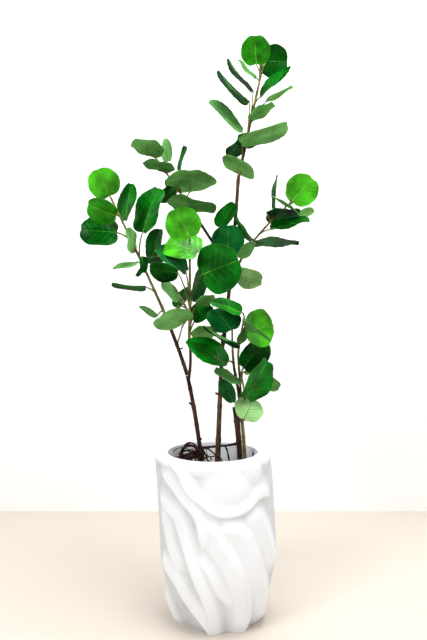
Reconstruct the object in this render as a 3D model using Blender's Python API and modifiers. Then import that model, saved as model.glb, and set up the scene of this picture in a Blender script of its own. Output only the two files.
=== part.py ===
# Potted coccoloba: an artificial shrub of four slim stems in a tall planter with folds down its wall.
# Metres, +Z up. The origin is on the planter's flat underside, below its filling's middle. -Y is the front.
import math
import random

import bmesh
import bpy
import numpy as np
from mathutils import Matrix, Vector
from mathutils.bvhtree import BVHTree

GAP = 0.0003
LIMB_STEPS = 10
STRAND_STEPS = 8
STEM_STEPS = 8
STRAIGHT = 0.006  # how far a limb rises straight from the fill
FLARE_FALL = 10  # the higher, the nearer its foot a limb's flare ends

# Planter
PLANTER_HEIGHT = 0.482
LIP_OUTER = 0.1375
LIP_INNER = 0.1345
FLOOR_TOP = 0.025
FILL_TOP = 0.395
WALL = 0.006  # the least the wall keeps between its folds and its inside
FOOT_RADIUS = 0.136
BELLY_RADIUS = 0.184
BELLY_HEIGHT = 0.20
BELLY_ROUNDING = 0.9  # below 1, the wall leaves the foot more steeply
TOP_RADIUS = 0.184
SHOULDER = 0.018  # how far below the lip its rounding begins
FOOT_DEPTH = 0.018  # how deep the hollows between the folds are, at the foot and above FADE_HEIGHT
UPPER_DEPTH = 0.011
FADE_HEIGHT = 0.26
PLANTER_STEPS = 77
SHOULDER_RINGS = 4
WALL_RINGS = 17
CAVITY_STATIONS = (
    (FLOOR_TOP, 0.104), (0.10, 0.118), (0.25, 0.125), (0.40, 0.132), (PLANTER_HEIGHT, LIP_INNER),
)
# How far the planter leans right at each height: it swells to the right below and to the left above.
LEAN_STATIONS = ((0.0, 0.0090), (0.10, 0.0105), (0.25, 0.0080), (0.40, -0.0005), (PLANTER_HEIGHT, -0.0075))

# Each fold that runs down the front of the planter's wall: whether it drops under its left side or past
# its right one, how far it stands out as a share of the deepest, how far its short side runs (m), and its
# line as (degrees round the axis from +X, height in mm). The back repeats them.
FOLDS = {
    "left_corner": ("under", 1.0, 0.014, ((188, 110), (194, 52), (201, 0))),
    "left_low": ("under", 1.0, 0.014, (
        (203, 225), (211, 182), (219, 161), (227, 143), (233, 116), (239, 91), (252, 43), (262, 0),
    )),
    "left_edge": ("under", 0.9, 0.012, (
        (203, 350), (211, 313), (216, 275), (220, 239), (226, 205), (229, 175), (231, 141),
    )),
    "left_long": ("under", 0.9, 0.012, (
        (200, 385), (211, 356), (219, 340), (229, 325), (234, 295), (238, 259), (242, 226), (247, 185),
        (252, 146), (257, 109), (261, 67), (266, 0),
    )),
    "left_short": ("under", 0.8, 0.014, (
        (207, 455), (218, 427), (228, 406), (239, 373), (248, 350), (253, 322), (256, 287), (258, 255),
        (259, 223),
    )),
    "front_low": ("under", 0.6, 0.030, (
        (241, 235), (248, 221), (255, 212), (260, 198), (265, 173), (269, 148), (274, 125), (280, 106),
        (286, 84), (293, 55),
    )),
    "front_corner": ("past", 1.0, 0.045, (
        (251, 334), (260, 320), (267, 303), (272, 285), (276, 260), (281, 236), (286, 210), (290, 181),
        (294, 148), (298, 111), (302, 66), (306, 0),
    )),
    "right_corner": ("past", 1.0, 0.045, (
        (265, 305), (274, 305), (284, 301), (292, 294), (298, 280), (302, 254), (306, 224), (309, 197),
        (312, 172), (316, 143), (322, 108), (332, 60), (350, 0),
    )),
    "middle_ledge": ("under", 0.9, 0.014, (
        (222, 482), (230, 467), (236, 445), (240, 418), (246, 396), (255, 378), (262, 362), (268, 351),
        (274, 344), (281, 341), (288, 344), (296, 350), (303, 358), (309, 372), (315, 381), (324, 379),
        (338, 370),
    )),
    "right_side": ("past", 1.0, 0.045, (
        (303, 378), (305, 370), (308, 353), (312, 328), (317, 303), (322, 274), (327, 242), (333, 200),
        (340, 150),
    )),
    "top_ledge": ("under", 0.35, 0.020, (
        (232, 482), (241, 469), (246, 458), (252, 452), (259, 450), (267, 450), (278, 451),
    )),
    "top_right": ("past", 0.9, 0.045, ((306, 482), (308, 462), (310, 439), (313, 418), (317, 397))),
}
FOLD_REACH = 0.068  # how far from its line a fold's broad side runs
FOLD_FADE = 0.060  # the length over which an end that stops on the wall fades
FOLD_BLEND = 7  # the higher, the crisper the valleys
# The smooth swell between the two ledges: its middle, its half size round and up, and how far it stands out
SWELL = {"turn": 283, "height": 0.408, "half_size": (0.085, 0.060), "share": 0.9}

# Leaves
EYE = (-0.0045, -1.8, 0.876)  # where the leaves were measured from
LEAF_THICKNESS = 0.0014
LEAF_POINTS = 12
LEAF_WIDTH = 1.12  # of the length from leaf stalk to tip
LEAF_SPAN = 1.03  # of that length, from the lobes at the stalk to the lobes at the tip
LEAF_MIDDLE = 0.48  # of that length, from the stalk to the blade's middle
LEAF_REACH = 0.56  # of that length, from the middle to either end, but for its notch
TIP_NOTCH = (0.075, 0.26)  # how deep, of the half blade, and how wide, in radians
BASE_NOTCH = (0.16, 0.34)
LEAF_FOLD = 0.07  # how far each half rises from the rib
LEAF_CURL = 0.045  # how far the tip bends down
LEAF_DISH = 0.05  # how far the edges bend up on top of the fold
LEAF_LIFT = 0.45  # of its thickness, that a blade lies above the stalk's end
STALK_RADIUS = 0.0016
STALK_TAPER = 0.6  # of that radius, at the leaf
STALK_ROOT = 0.0012  # how deep a stalk starts in its stem
STALK_SUNK = 0.07  # of the leaf's length that the stalk runs on under the blade
FACETED = 1.04  # how much wider a tube of flat faces is made to keep a distance all round
CLEARANCE = 0.0012
BROAD = 0.6  # a leaf whose short side is over this share of its long one hides another behind it
HIDDEN = dict(  # that one: how far behind the stem, in turn, and how far it wanders, in mm
    behind=(50, 95), wander=8, climb=0.12, size=(0.85, 0.98), narrow=(0.5, 0.9), slope=30,
)

# Each limb: foot, middle handle, tip, radius at foot and tip, and the limbs it is cut clear of
LIMBS = {
    "trunk_left": dict(
        foot=(-0.036, 0.010, FILL_TOP + GAP), middle=(-0.050, 0.010, 0.560), tip=(-0.083, 0.004, 0.708),
        radii=(0.0070, 0.0056), flare=0.0035, bark="dark",
    ),
    "trunk_middle": dict(
        foot=(0.007, 0.030, FILL_TOP + GAP), middle=(0.013, 0.030, 0.640), tip=(0.0250, 0.030, 0.832),
        radii=(0.0080, 0.0060), flare=0.0035, bark="brown",
    ),
    "stub_right": dict(
        foot=(0.078, 0.004, FILL_TOP + GAP), middle=(0.074, 0.002, 0.500), tip=(0.062, 0.000, 0.615),
        radii=(0.0070, 0.0095), flare=0.002, bark="dark",
    ),
    "stem_right": dict(
        foot=(0.090, -0.030, FILL_TOP + GAP), middle=(0.086, -0.030, 0.600), tip=(0.0560, -0.030, 0.734),
        radii=(0.0056, 0.0040), flare=0.002, bark="green",
    ),
    "bough_left": dict(
        foot=(-0.0835, 0.0037, 0.7105), middle=(-0.110, 0.000, 0.795), tip=(-0.146, -0.010, 0.885),
        radii=(0.0060, 0.0050), clear_of=("trunk_left",), bark="dark",
    ),
    "bough_centre_left": dict(
        foot=(-0.0800, 0.0045, 0.690), middle=(-0.068, -0.010, 0.760), tip=(-0.0764, -0.018, 0.811),
        radii=(0.0046, 0.0038), clear_of=("trunk_left", "bough_left"), bark="dark",
    ),
    "bough_tall": dict(
        foot=(0.0245, 0.030, 0.800), middle=(0.050, 0.052, 0.990), tip=(0.0724, 0.050, 1.316),
        radii=(0.0064, 0.0050), clear_of=("trunk_middle",), bark="brown",
    ),
    "bough_right": dict(
        foot=(0.0475, 0.047, 0.975), middle=(0.060, 0.038, 1.025), tip=(0.0796, 0.035, 1.060),
        radii=(0.0044, 0.0038), clear_of=("bough_tall",), bark="brown",
    ),
    "bough_upper_left": dict(
        foot=(0.0530, 0.0485, 1.030), middle=(-0.005, 0.082, 1.115), tip=(-0.0566, 0.095, 1.198),
        radii=(0.0050, 0.0042), clear_of=("bough_tall",), bark="brown",
    ),
    "bough_low_right": dict(
        foot=(0.0775, -0.030, 0.645), middle=(0.072, -0.036, 0.710), tip=(0.0674, -0.040, 0.770),
        radii=(0.0034, 0.0030), clear_of=("stem_right",), bark="green",
    ),
}

# Each root strand in the planter's mouth: foot, middle handle, tip, radius and what it is cut clear of
STRANDS = {
    "root_hump": dict(
        foot=(-0.116, 0.026, FILL_TOP + GAP), middle=(-0.108, 0.026, 0.532), tip=(-0.048, 0.024, 0.484),
        radii=(0.0058, 0.0044), clear_of=("trunk_left",),
    ),
    "root_hump_low": dict(
        foot=(-0.122, -0.006, FILL_TOP + GAP), middle=(-0.088, -0.008, 0.542),
        tip=(-0.060, -0.020, FILL_TOP + GAP),
        radii=(0.0046, 0.0040), clear_of=("trunk_left", "root_hump"),
    ),
    "root_arc": dict(
        foot=(-0.046, 0.012, 0.492), middle=(0.010, 0.085, 0.474), tip=(0.074, 0.004, 0.506),
        radii=(0.0034, 0.0046), clear_of=("trunk_left", "trunk_middle", "stub_right", "root_hump"),
    ),
    "root_fork": dict(
        foot=(0.0302, 0.0418, 0.4880), middle=(0.044, 0.026, 0.476), tip=(0.050, 0.006, FILL_TOP + GAP),
        radii=(0.0026, 0.0022), clear_of=("root_arc", "trunk_middle"),
    ),
    "root_strand": dict(
        foot=(-0.044, 0.010, 0.482), middle=(-0.026, -0.004, 0.505), tip=(-0.012, -0.030, FILL_TOP + GAP),
        radii=(0.0026, 0.0022), clear_of=("trunk_left", "root_arc", "root_hump"),
    ),
    "root_tip_right": dict(
        foot=(0.108, 0.030, FILL_TOP + GAP), middle=(0.110, 0.028, 0.440), tip=(0.117, 0.020, 0.476),
        radii=(0.0036, 0.0018), clear_of=(),
    ),
}

# Each mass of leaves: its stem from foot to tip, and its leaves as they are seen from the front, each
# as (place on the stem, middle, long side, short side, slope, spin, look). The middle is how far right
# of the axis, how high and how deep it lies, in mm, the first two as seen on the plane of the planter's
# axis. The slope is the long side's, in degrees from the right, and the spin is the tip's from there.
# The edge to the left of the slope's direction is the further one, or the nearer one where the short
# side has a minus. Light, pale and olive leaves show their backs.
MASSES = {
    "foliage_top": dict(
        stem=((0.0724, 0.050, 1.3150), (0.104, 0.050, 1.460), (0.147, 0.050, 1.655)),
        radii=(0.0052, 0.0034), start_on="bough_tall", seed=11, tint="mixed",
        leaves=(
            (0.07, (72, 1338, 22), 112, -49, -32, 90, "pale"),
            (0.20, (76, 1400, 30), 98, 42, 222, 0, "dark"),
            (0.30, (97, 1414, 105), 60, 36, 170, 0, "dark"),
            (0.17, (142, 1437, -28), 150, -50, 24, 0, "pale"),
            (0.17, (33, 1485, 45), 134, -32, 141, 0, "olive"),
            (0.39, (56, 1572, 60), 133, 19, 139, 0, "dark"),
            (0.50, (75, 1606, 35), 123, 15, 133, 0, "dark"),
            (0.40, (137, 1502, 30), 87, -34, 35, 0, "pale"),
            (0.52, (190, 1557, 60), 90, -15, 32, 0, "pale"),
            (0.70, (179, 1590, -5), 124, 24, 44, 0, "dark"),
            (0.88, (96, 1627, 60), 78, -12, 138, 0, "olive"),
            (0.92, (122, 1683, 20), 90, 84, 3, 90, "fresh"),
            (1.00, (176, 1652, 95), 96, 86, 266, 90, "dark"),
        ),
    ),
    "foliage_upper_left": dict(
        stem=((-0.0566, 0.095, 1.1980), (-0.104, 0.100, 1.272), (-0.187, 0.100, 1.389)),
        radii=(0.0042, 0.0026), start_on="bough_upper_left", seed=5, tint="pale",
        leaves=(
            (0.30, (-74, 1292, 70), 158, -66, 3, 90, "pale"),
            (0.20, (-71, 1221, 55), 150, -51, -8, 90, "olive"),
            (0.50, (-142, 1251, 115), 60, 42, 225, 0, "dark"),
            (0.45, (-99, 1358, 120), 78, 14, 80, 0, "dark"),
            (0.78, (-167, 1341, 70), 99, -38, -10, 90, "olive"),
            (0.90, (-147, 1384, 140), 68, -33, 100, 0, "pale"),
            (1.00, (-202, 1393, 65), 100, -51, -12, 90, "pale"),
        ),
    ),
    "foliage_left": dict(
        stem=((-0.1460, -0.010, 0.8850), (-0.205, -0.020, 1.024), (-0.307, -0.030, 1.236)),
        radii=(0.0046, 0.0028), start_on="bough_left", seed=23, tint="bright",
        leaves=(
            (0.07, (-200, 899, -15), 63, -18, 159, 0, "olive"),
            (0.25, (-257, 976, -25), 104, 18, 178, 0, "dark"),
            (0.47, (-266, 1037, -35), 81, -15, 202, 0, "olive"),
            (0.50, (-215, 1042, -100), 48, 27, 280, 0, "dark"),
            (0.52, (-222, 1023, -10), 42, 15, 229, 0, "dark"),
            (0.50, (-181, 1102, 40), 96, 48, 78, 0, "dark"),
            (0.50, (-183, 1057, -35), 81, -22, 355, 0, "dark"),
            (0.62, (-254, 1113, -45), 78, -30, 100, 0, "pale"),
            (0.55, (-200, 1204, -30), 144, 72, 76, 0, "mid"),
            (0.83, (-262, 1228, -10), 114, 46, 83, 0, "mid"),
            (0.68, (-345, 1144, -25), 112, -96, 175, 0, "dark"),
            (0.88, (-338, 1202, -55), 92, 75, 165, 0, "fresh"),
            (1.00, (-333, 1286, -40), 96, 90, 25, 90, "bright"),
        ),
    ),
    "foliage_inner": dict(
        stem=((-0.1130, 0.000, 0.8060), (-0.104, -0.004, 0.830), (-0.097, -0.010, 0.860)),
        radii=(0.0026, 0.0020), start_on="bough_left", seed=8, tint="pale",
        leaves=(
            (0.90, (-125, 880, -72), 119, -57, 13, 130, "pale"),
        ),
    ),
    "foliage_centre_left": dict(
        stem=((-0.0764, -0.018, 0.8107), (-0.074, -0.030, 0.935), (-0.074, -0.035, 1.082)),
        radii=(0.0046, 0.0030), start_on="bough_centre_left", seed=31, tint="dark",
        leaves=(
            (0.45, (-127, 1056, -95), 114, -50, 139, 0, "deep"),
            (0.40, (-152, 1022, -65), 88, 58, 175, 0, "dark"),
            (0.30, (-133, 960, 5), 75, -33, 135, 0, "pale"),
            (0.34, (-100, 942, 55), 72, 36, 60, 0, "dark"),
            (0.30, (-50, 980, 0), 108, -44, 67, 0, "dark"),
            (0.20, (-30, 936, -55), 60, -30, 25, 0, "pale"),
            (0.15, (-42, 900, -30), 72, 57, 40, 0, "dark"),
            (0.50, (11, 1032, -110), 152, -117, -69, 90, "mid"),
            (1.00, (-96, 1164, -105), 108, 101, 26, 90, "bright"),
            (0.94, (-96, 1098, -88), 117, 81, 0, 150, "bright"),
            (0.10, (-33, 841, -25), 81, -42, 15, 0, "pale"),
        ),
    ),
    "foliage_centre": dict(
        stem=((0.0480, 0.046, 0.9700), (0.034, 0.016, 1.050), (0.039, 0.010, 1.133)),
        radii=(0.0034, 0.0024), start_on="bough_tall", seed=17, tint="dark",
        leaves=(
            (0.60, (39, 1113, -35), 100, 94, 0, 90, "deep"),
            (1.00, (33, 1190, 25), 87, 48, 60, 0, "dark"),
            (0.25, (101, 1003, 20), 82, -62, 350, 0, "light"),
        ),
    ),
    "foliage_right": dict(
        stem=((0.0796, 0.035, 1.0600), (0.119, 0.032, 1.133), (0.220, 0.030, 1.224)),
        radii=(0.0038, 0.0024), start_on="bough_right", seed=41, tint="dark",
        leaves=(
            (1.00, (261, 1266, -20), 99, 93, -44, 90, "bright"),
            (0.78, (181, 1259, 75), 100, 10, 88, 0, "dark"),
            (0.97, (215, 1224, -78), 105, -12, -34, 90, "pale"),
            (0.72, (202, 1190, 30), 102, -48, 356, 0, "deep"),
            (0.95, (266, 1198, 62), 60, -27, 22, 0, "pale"),
            (0.50, (222, 1165, -22), 120, 28, 16, 0, "dark"),
            (0.33, (183, 1109, 5), 134, 28, 5, 0, "dark"),
            (0.37, (86, 1146, -20), 86, 19, 129, 0, "mid"),
            (0.10, (93, 1086, -50), 66, -33, 45, 0, "olive"),
        ),
    ),
    "foliage_low_centre": dict(
        stem=((0.0560, -0.030, 0.7340), (0.050, -0.040, 0.790), (0.050, -0.050, 0.844)),
        radii=(0.0038, 0.0024), start_on="stem_right", seed=53, tint="dark",
        leaves=(
            (0.98, (26, 879, -100), 100, -80, 160, -42, "deep"),
            (0.10, (-20, 783, -100), 143, -64, 147, 0, "mid"),
        ),
    ),
    "foliage_low_right": dict(
        stem=((0.0674, -0.040, 0.7700), (0.071, -0.046, 0.823), (0.085, -0.052, 0.879)),
        radii=(0.0034, 0.0024), start_on="bough_low_right", seed=61, tint="bright",
        leaves=(
            (1.00, (36, 918, -115), 99, -38, 154, 0, "mid"),
            (0.92, (124, 848, -183), 104, -12, 327, 0, "olive"),
            (0.88, (135, 852, -92), 116, -88, 100, -90, "bright"),
            (0.42, (84, 835, -45), 66, -24, 70, 0, "olive"),
            (0.32, (20, 823, -125), 126, 12, 159, 0, "dark"),
        ),
    ),
    "foliage_foot": dict(
        stem=((0.0810, -0.031, 0.5700), (0.095, -0.058, 0.648), (0.074, -0.056, 0.722)),
        radii=(0.0030, 0.0022), start_on="stem_right", seed=71, tint="dark",
        leaves=(
            (0.10, (100, 606, -75), 89, 62, -25, 90, "light"),
            (0.30, (39, 663, -70), 78, 42, 115, 0, "deep"),
            (0.45, (128, 694, -90), 133, -72, 56, 0, "mid"),
            (0.95, (119, 771, -60), 110, -80, 47, 0, "dark"),
            (0.60, (159, 694, 12), 78, -45, 335, 0, "olive"),
            (0.90, (114, 730, 15), 60, -18, 27, 0, "pale"),
            (0.86, (41, 705, -85), 93, -27, 158, 0, "olive"),
        ),
    ),
}
BACKS_SHOWN = ("light", "pale", "olive")

TINTS = {
    "planter": (0.80, 0.79, 0.77, 1.0),
    "fill": (0.10, 0.07, 0.045, 1.0),
    "dark": (0.055, 0.030, 0.022, 1.0),
    "brown": (0.110, 0.062, 0.034, 1.0),
    "green": (0.120, 0.105, 0.040, 1.0),
    "leaf_bright": (0.040, 0.300, 0.020, 1.0),
    "leaf_mixed": (0.045, 0.200, 0.030, 1.0),
    "leaf_pale": (0.110, 0.270, 0.090, 1.0),
    "leaf_dark": (0.010, 0.110, 0.020, 1.0),
}


def make_material(name, roughness):
    material = bpy.data.materials.new(name)
    material.use_nodes = True
    shader = material.node_tree.nodes["Principled BSDF"]
    shader.inputs["Base Color"].default_value = TINTS[name]
    shader.inputs["Roughness"].default_value = roughness
    shader.inputs["Metallic"].default_value = 0.0
    material.diffuse_color = TINTS[name]
    return material


def add_object(name, mesh, material, collection, smooth=True):
    if smooth:
        mesh.shade_smooth()
    mesh.materials.clear()
    mesh.materials.append(material)
    thing = bpy.data.objects.new(name, mesh)
    collection.objects.link(thing)
    return thing


def evaluated_mesh(thing):
    """The object's mesh with its modifiers applied."""
    graph = bpy.context.evaluated_depsgraph_get()
    return bpy.data.meshes.new_from_object(thing.evaluated_get(graph))


def ease(start, end, values):
    share = np.clip((values - start) / (end - start), 0, 1)
    return share * share * (3 - 2 * share)


def between(stations, height):
    """The value at a height, read off a short list of (height, value) stations."""
    for (low, first), (high, second) in zip(stations, stations[1:]):
        if height <= high:
            return first + (second - first) * max(height - low, 0.0) / (high - low)
    return stations[-1][1]


def smooth_line(points, steps=4):
    """Points along a smooth curve through the given ones."""
    knots = np.vstack([2 * points[0] - points[1], points, 2 * points[-1] - points[-2]])
    line = []
    for before, first, second, after in zip(knots, knots[1:], knots[2:], knots[3:]):
        for share in np.arange(steps) / steps:
            bend = (2 * before - 5 * first + 4 * second - after) * share ** 2
            bend = bend + (3 * first - before - 3 * second + after) * share ** 3
            line.append(first + ((second - before) * share + bend) / 2)
    return np.array(line + [points[-1]])


def fold_relief(angles, heights, line, drop, short_run):
    """How far one fold stands out at each place, from 0 to 1: 1 on its line, less on its broad side
    and soon nothing on its short one."""
    nearest = np.full(angles.shape, np.inf)
    side = np.zeros_like(nearest)
    along = np.zeros_like(nearest)
    run = 0.0
    for start, end in zip(line, line[1:]):
        way = end - start
        length = np.hypot(*way)
        off_around, off_up = angles * BELLY_RADIUS - start[0], heights - start[1]
        share = np.clip((off_around * way[0] + off_up * way[1]) / length ** 2, 0, 1)
        distance = np.hypot(off_around - share * way[0], off_up - share * way[1])
        closer = distance < nearest
        nearest = np.where(closer, distance, nearest)
        side = np.where(closer, way[0] * off_up - way[1] * off_around, side)
        along = np.where(closer, run + share * length, along)
        run += length
    away = np.clip(nearest / np.where((side > 0) == (drop == "under"), FOLD_REACH, short_run), 0, 1)
    relief = 1 - ease(0, 1, away) if drop == "under" else 1 - away
    if line[0][1] < PLANTER_HEIGHT - SHOULDER:
        relief = relief * ease(0, FOLD_FADE, along)
    if line[-1][1] > 0:
        relief = relief * ease(0, FOLD_FADE, run - along)
    return relief


def wall_radius(angles, heights):
    """The planter's outer radius: a rounded barrel with folds that run down it, round both halves."""
    blend = np.zeros_like(angles)
    for drop, share, short_run, points in FOLDS.values():
        knots = [(math.radians(turn) * BELLY_RADIUS, height / 1000) for turn, height in points]
        line = smooth_line(np.array(knots))
        for half_turns in (-2, -1, 0, 1, 2):
            relief = fold_relief(angles + half_turns * math.pi, heights, line, drop, short_run)
            blend += (share * relief) ** FOLD_BLEND
    across, upward = SWELL["half_size"]
    for half_turns in (-2, -1, 0, 1, 2):
        off_around = (angles + half_turns * math.pi - math.radians(SWELL["turn"])) * BELLY_RADIUS / across
        off_up = (heights - SWELL["height"]) / upward
        blend += (SWELL["share"] * np.exp(-off_around ** 2 - off_up ** 2)) ** FOLD_BLEND
    relief = np.minimum(blend ** (1 / FOLD_BLEND), 1)
    rise = np.sin(np.clip(heights / BELLY_HEIGHT, 0, 1) * math.pi / 2) ** BELLY_ROUNDING
    barrel = FOOT_RADIUS + (BELLY_RADIUS - FOOT_RADIUS) * rise
    barrel -= (BELLY_RADIUS - TOP_RADIUS) * ease(BELLY_HEIGHT, PLANTER_HEIGHT, heights)
    depth = UPPER_DEPTH + (FOOT_DEPTH - UPPER_DEPTH) * (1 - ease(0, FADE_HEIGHT, heights))
    above = np.clip((heights - PLANTER_HEIGHT + SHOULDER) / SHOULDER, 0, 1)
    return LIP_OUTER + (barrel - depth * (1 - relief) - LIP_OUTER) * np.sqrt(1 - above ** 2)


def turned_mesh(name, profile, steps):
    """A closed mesh from a profile turned round Z. The profile runs down its outer side."""
    mesh = bpy.data.meshes.new(name)
    points = [(radius, 0.0, height) for radius, height in profile]
    mesh.from_pydata(points, [(i, i + 1) for i in range(len(points) - 1)], [])
    helper = bpy.data.objects.new(name, mesh)
    bpy.context.scene.collection.objects.link(helper)
    screw = helper.modifiers.new("turn", "SCREW")
    screw.steps = steps
    screw.render_steps = steps
    screw.use_merge_vertices = True
    screw.merge_threshold = 0.00001
    turned = evaluated_mesh(helper)
    bpy.data.objects.remove(helper)
    work = bmesh.new()
    work.from_mesh(turned)
    bmesh.ops.remove_doubles(work, verts=work.verts, dist=0.00001)
    bmesh.ops.recalc_face_normals(work, faces=work.faces)
    work.to_mesh(turned)
    work.free()
    return turned


def wall_heights():
    """The heights of the outer wall's rings, from just under the lip down to just over the foot."""
    heights = []
    for step in range(1, SHOULDER_RINGS + 1):
        heights.append(PLANTER_HEIGHT - SHOULDER * (1 - math.cos(math.pi / 2 * step / SHOULDER_RINGS)))
    for step in range(1, WALL_RINGS):
        heights.append((PLANTER_HEIGHT - SHOULDER) * (1 - step / WALL_RINGS))
    return heights


def build_planter(collection):
    cavity = [(radius, height) for height, radius in CAVITY_STATIONS]
    outer = [(BELLY_RADIUS, height) for height in wall_heights()]
    profile = [(0.0, FLOOR_TOP)] + cavity + [(LIP_OUTER, PLANTER_HEIGHT)] + outer
    profile += [(BELLY_RADIUS, 0.0), (0.0, 0.0)]
    mesh = turned_mesh("planter", profile, PLANTER_STEPS)
    wall = [point for point in mesh.vertices if math.hypot(point.co.x, point.co.y) > LIP_OUTER + GAP]
    inside = [point for point in mesh.vertices if math.hypot(point.co.x, point.co.y) <= LIP_OUTER + GAP]
    angles = np.array([math.atan2(point.co.y, point.co.x) for point in wall])
    heights = np.array([point.co.z for point in wall])
    for point, angle, radius in zip(wall, angles, wall_radius(angles, heights)):
        radius = max(radius, between(CAVITY_STATIONS, point.co.z) + WALL)
        radius += between(LEAN_STATIONS, point.co.z) * math.cos(angle)
        point.co.x = radius * math.cos(angle)
        point.co.y = radius * math.sin(angle)
    for point in inside:
        point.co.x += between(LEAN_STATIONS, point.co.z)
    add_object("planter", mesh, make_material("planter", 0.55), collection)

    narrower = [(height, radius - GAP) for height, radius in CAVITY_STATIONS]
    foot = FLOOR_TOP + GAP
    fill_profile = [(0.0, FILL_TOP), (between(narrower, FILL_TOP), FILL_TOP)]
    fill_profile += [(radius, height) for height, radius in reversed(narrower) if foot < height < FILL_TOP]
    fill_profile += [(between(narrower, foot), foot), (0.0, foot)]
    fill = turned_mesh("planter_fill", fill_profile, PLANTER_STEPS)
    for point in fill.vertices:
        point.co.x += between(LEAN_STATIONS, point.co.z)
    add_object("planter_fill", fill, make_material("fill", 0.95), collection, smooth=False)


def bezier_point(points, share):
    first, middle, last = (Vector(point) for point in points)
    return first * (1 - share) ** 2 + middle * 2 * share * (1 - share) + last * share ** 2


def tube_mesh(name, route, radii, resolution=2):
    """A closed tapering tube through a route's points, as a curve with a bevel made into a mesh."""
    curve = bpy.data.curves.new(name, "CURVE")
    curve.dimensions = "3D"
    curve.bevel_depth = 1.0
    curve.bevel_resolution = resolution
    curve.use_fill_caps = True
    spline = curve.splines.new("POLY")
    spline.points.add(len(route) - 1)
    for point, place, radius in zip(spline.points, route, radii):
        point.co = (*place, 1.0)
        point.radius = radius
    helper = bpy.data.objects.new(name, curve)
    bpy.context.scene.collection.objects.link(helper)
    bpy.context.view_layer.update()
    mesh = evaluated_mesh(helper)
    bpy.data.objects.remove(helper)
    work = bmesh.new()
    work.from_mesh(mesh)
    bmesh.ops.remove_doubles(work, verts=work.verts, dist=0.00001)
    bmesh.ops.recalc_face_normals(work, faces=work.faces)
    work.to_mesh(mesh)
    work.free()
    return mesh


def limb_route(limb):
    """Points and radii along a limb. An end that stands on the fill rises straight, with a flare."""
    steps = LIMB_STEPS if "bark" in limb else STRAND_STEPS
    ends = (limb["foot"], limb["middle"], limb["tip"])
    thick, thin = limb["radii"]
    flare = limb.get("flare", 0.0)
    route = []
    radii = []
    for step in range(steps + 1):
        share = step / steps
        route.append(bezier_point(ends, share))
        radii.append(thick + (thin - thick) * share + flare * (1 - share) ** FLARE_FALL)
    if limb["foot"][2] < FILL_TOP + 2 * GAP:
        route.insert(1, route[0] + Vector((0.0, 0.0, STRAIGHT)))
        radii.insert(1, radii[0])
    if limb["tip"][2] < FILL_TOP + 2 * GAP:
        route.insert(-1, route[-1] + Vector((0.0, 0.0, STRAIGHT)))
        radii.insert(-1, radii[-1])
    return route, radii


def cut_clear(thing, cutter_meshes, cutters):
    """Cuts the thing by each mesh and keeps its largest piece."""
    for mesh in cutter_meshes:
        cutter = bpy.data.objects.new("cutter", mesh)
        cutter.hide_render = True
        cutter.display_type = "WIRE"
        cutters.objects.link(cutter)
        cut = thing.modifiers.new("clear", "BOOLEAN")
        cut.operation = "DIFFERENCE"
        cut.solver = "EXACT"
        cut.object = cutter
    mesh = evaluated_mesh(thing)
    thing.modifiers.clear()
    thing.data = mesh
    for cutter in list(cutters.objects):
        bpy.data.objects.remove(cutter)
    keep_largest(mesh)


def islands(work):
    """The connected pieces of a mesh, each as a list of its faces, largest volume first."""
    left = set(work.faces)
    found = []
    while left:
        queue = [left.pop()]
        piece = []
        while queue:
            face = queue.pop()
            piece.append(face)
            for edge in face.edges:
                for other in edge.link_faces:
                    if other in left:
                        left.discard(other)
                        queue.append(other)
        found.append(piece)
    return sorted(found, key=lambda piece: -abs(signed_volume(piece)))


def signed_volume(faces):
    total = 0.0
    for face in faces:
        corners = [vert.co for vert in face.verts]
        for second, third in zip(corners[1:], corners[2:]):
            total += corners[0].dot(second.cross(third)) / 6.0
    return total


def is_closed(mesh):
    work = bmesh.new()
    work.from_mesh(mesh)
    closed = all(edge.is_manifold for edge in work.edges)
    work.free()
    return closed


def keep_largest(mesh):
    work = bmesh.new()
    work.from_mesh(mesh)
    scraps = [face for piece in islands(work)[1:] for face in piece]
    bmesh.ops.delete(work, geom=scraps, context="FACES")
    bmesh.ops.triangulate(work, faces=work.faces, ngon_method="EAR_CLIP")
    work.to_mesh(mesh)
    work.free()


def build_limbs(group, collection, cutters, materials):
    """Each limb as a tapering tube, cut 0.3 mm clear of the limbs it leaves."""
    for name, limb in group.items():
        route, radii = limb_route(limb)
        mesh = tube_mesh(name, route, radii)
        thing = add_object(name, mesh, materials[limb.get("bark", "dark")], collection)
        around = [wider_limb(other, GAP) for other in limb.get("clear_of", ())]
        if around:
            cut_clear(thing, around, cutters)
            thing.data.shade_smooth()


def wider_limb(name, extra):
    """A limb's tube, larger all round by the extra and by what its flat faces take from a circle."""
    route, radii = limb_route({**LIMBS, **STRANDS}[name])
    route[0] += (route[0] - route[1]).normalized() * extra
    route[-1] += (route[-1] - route[-2]).normalized() * extra
    return tube_mesh(name + "_wide", route, [radius + extra * FACETED for radius in radii])


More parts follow.
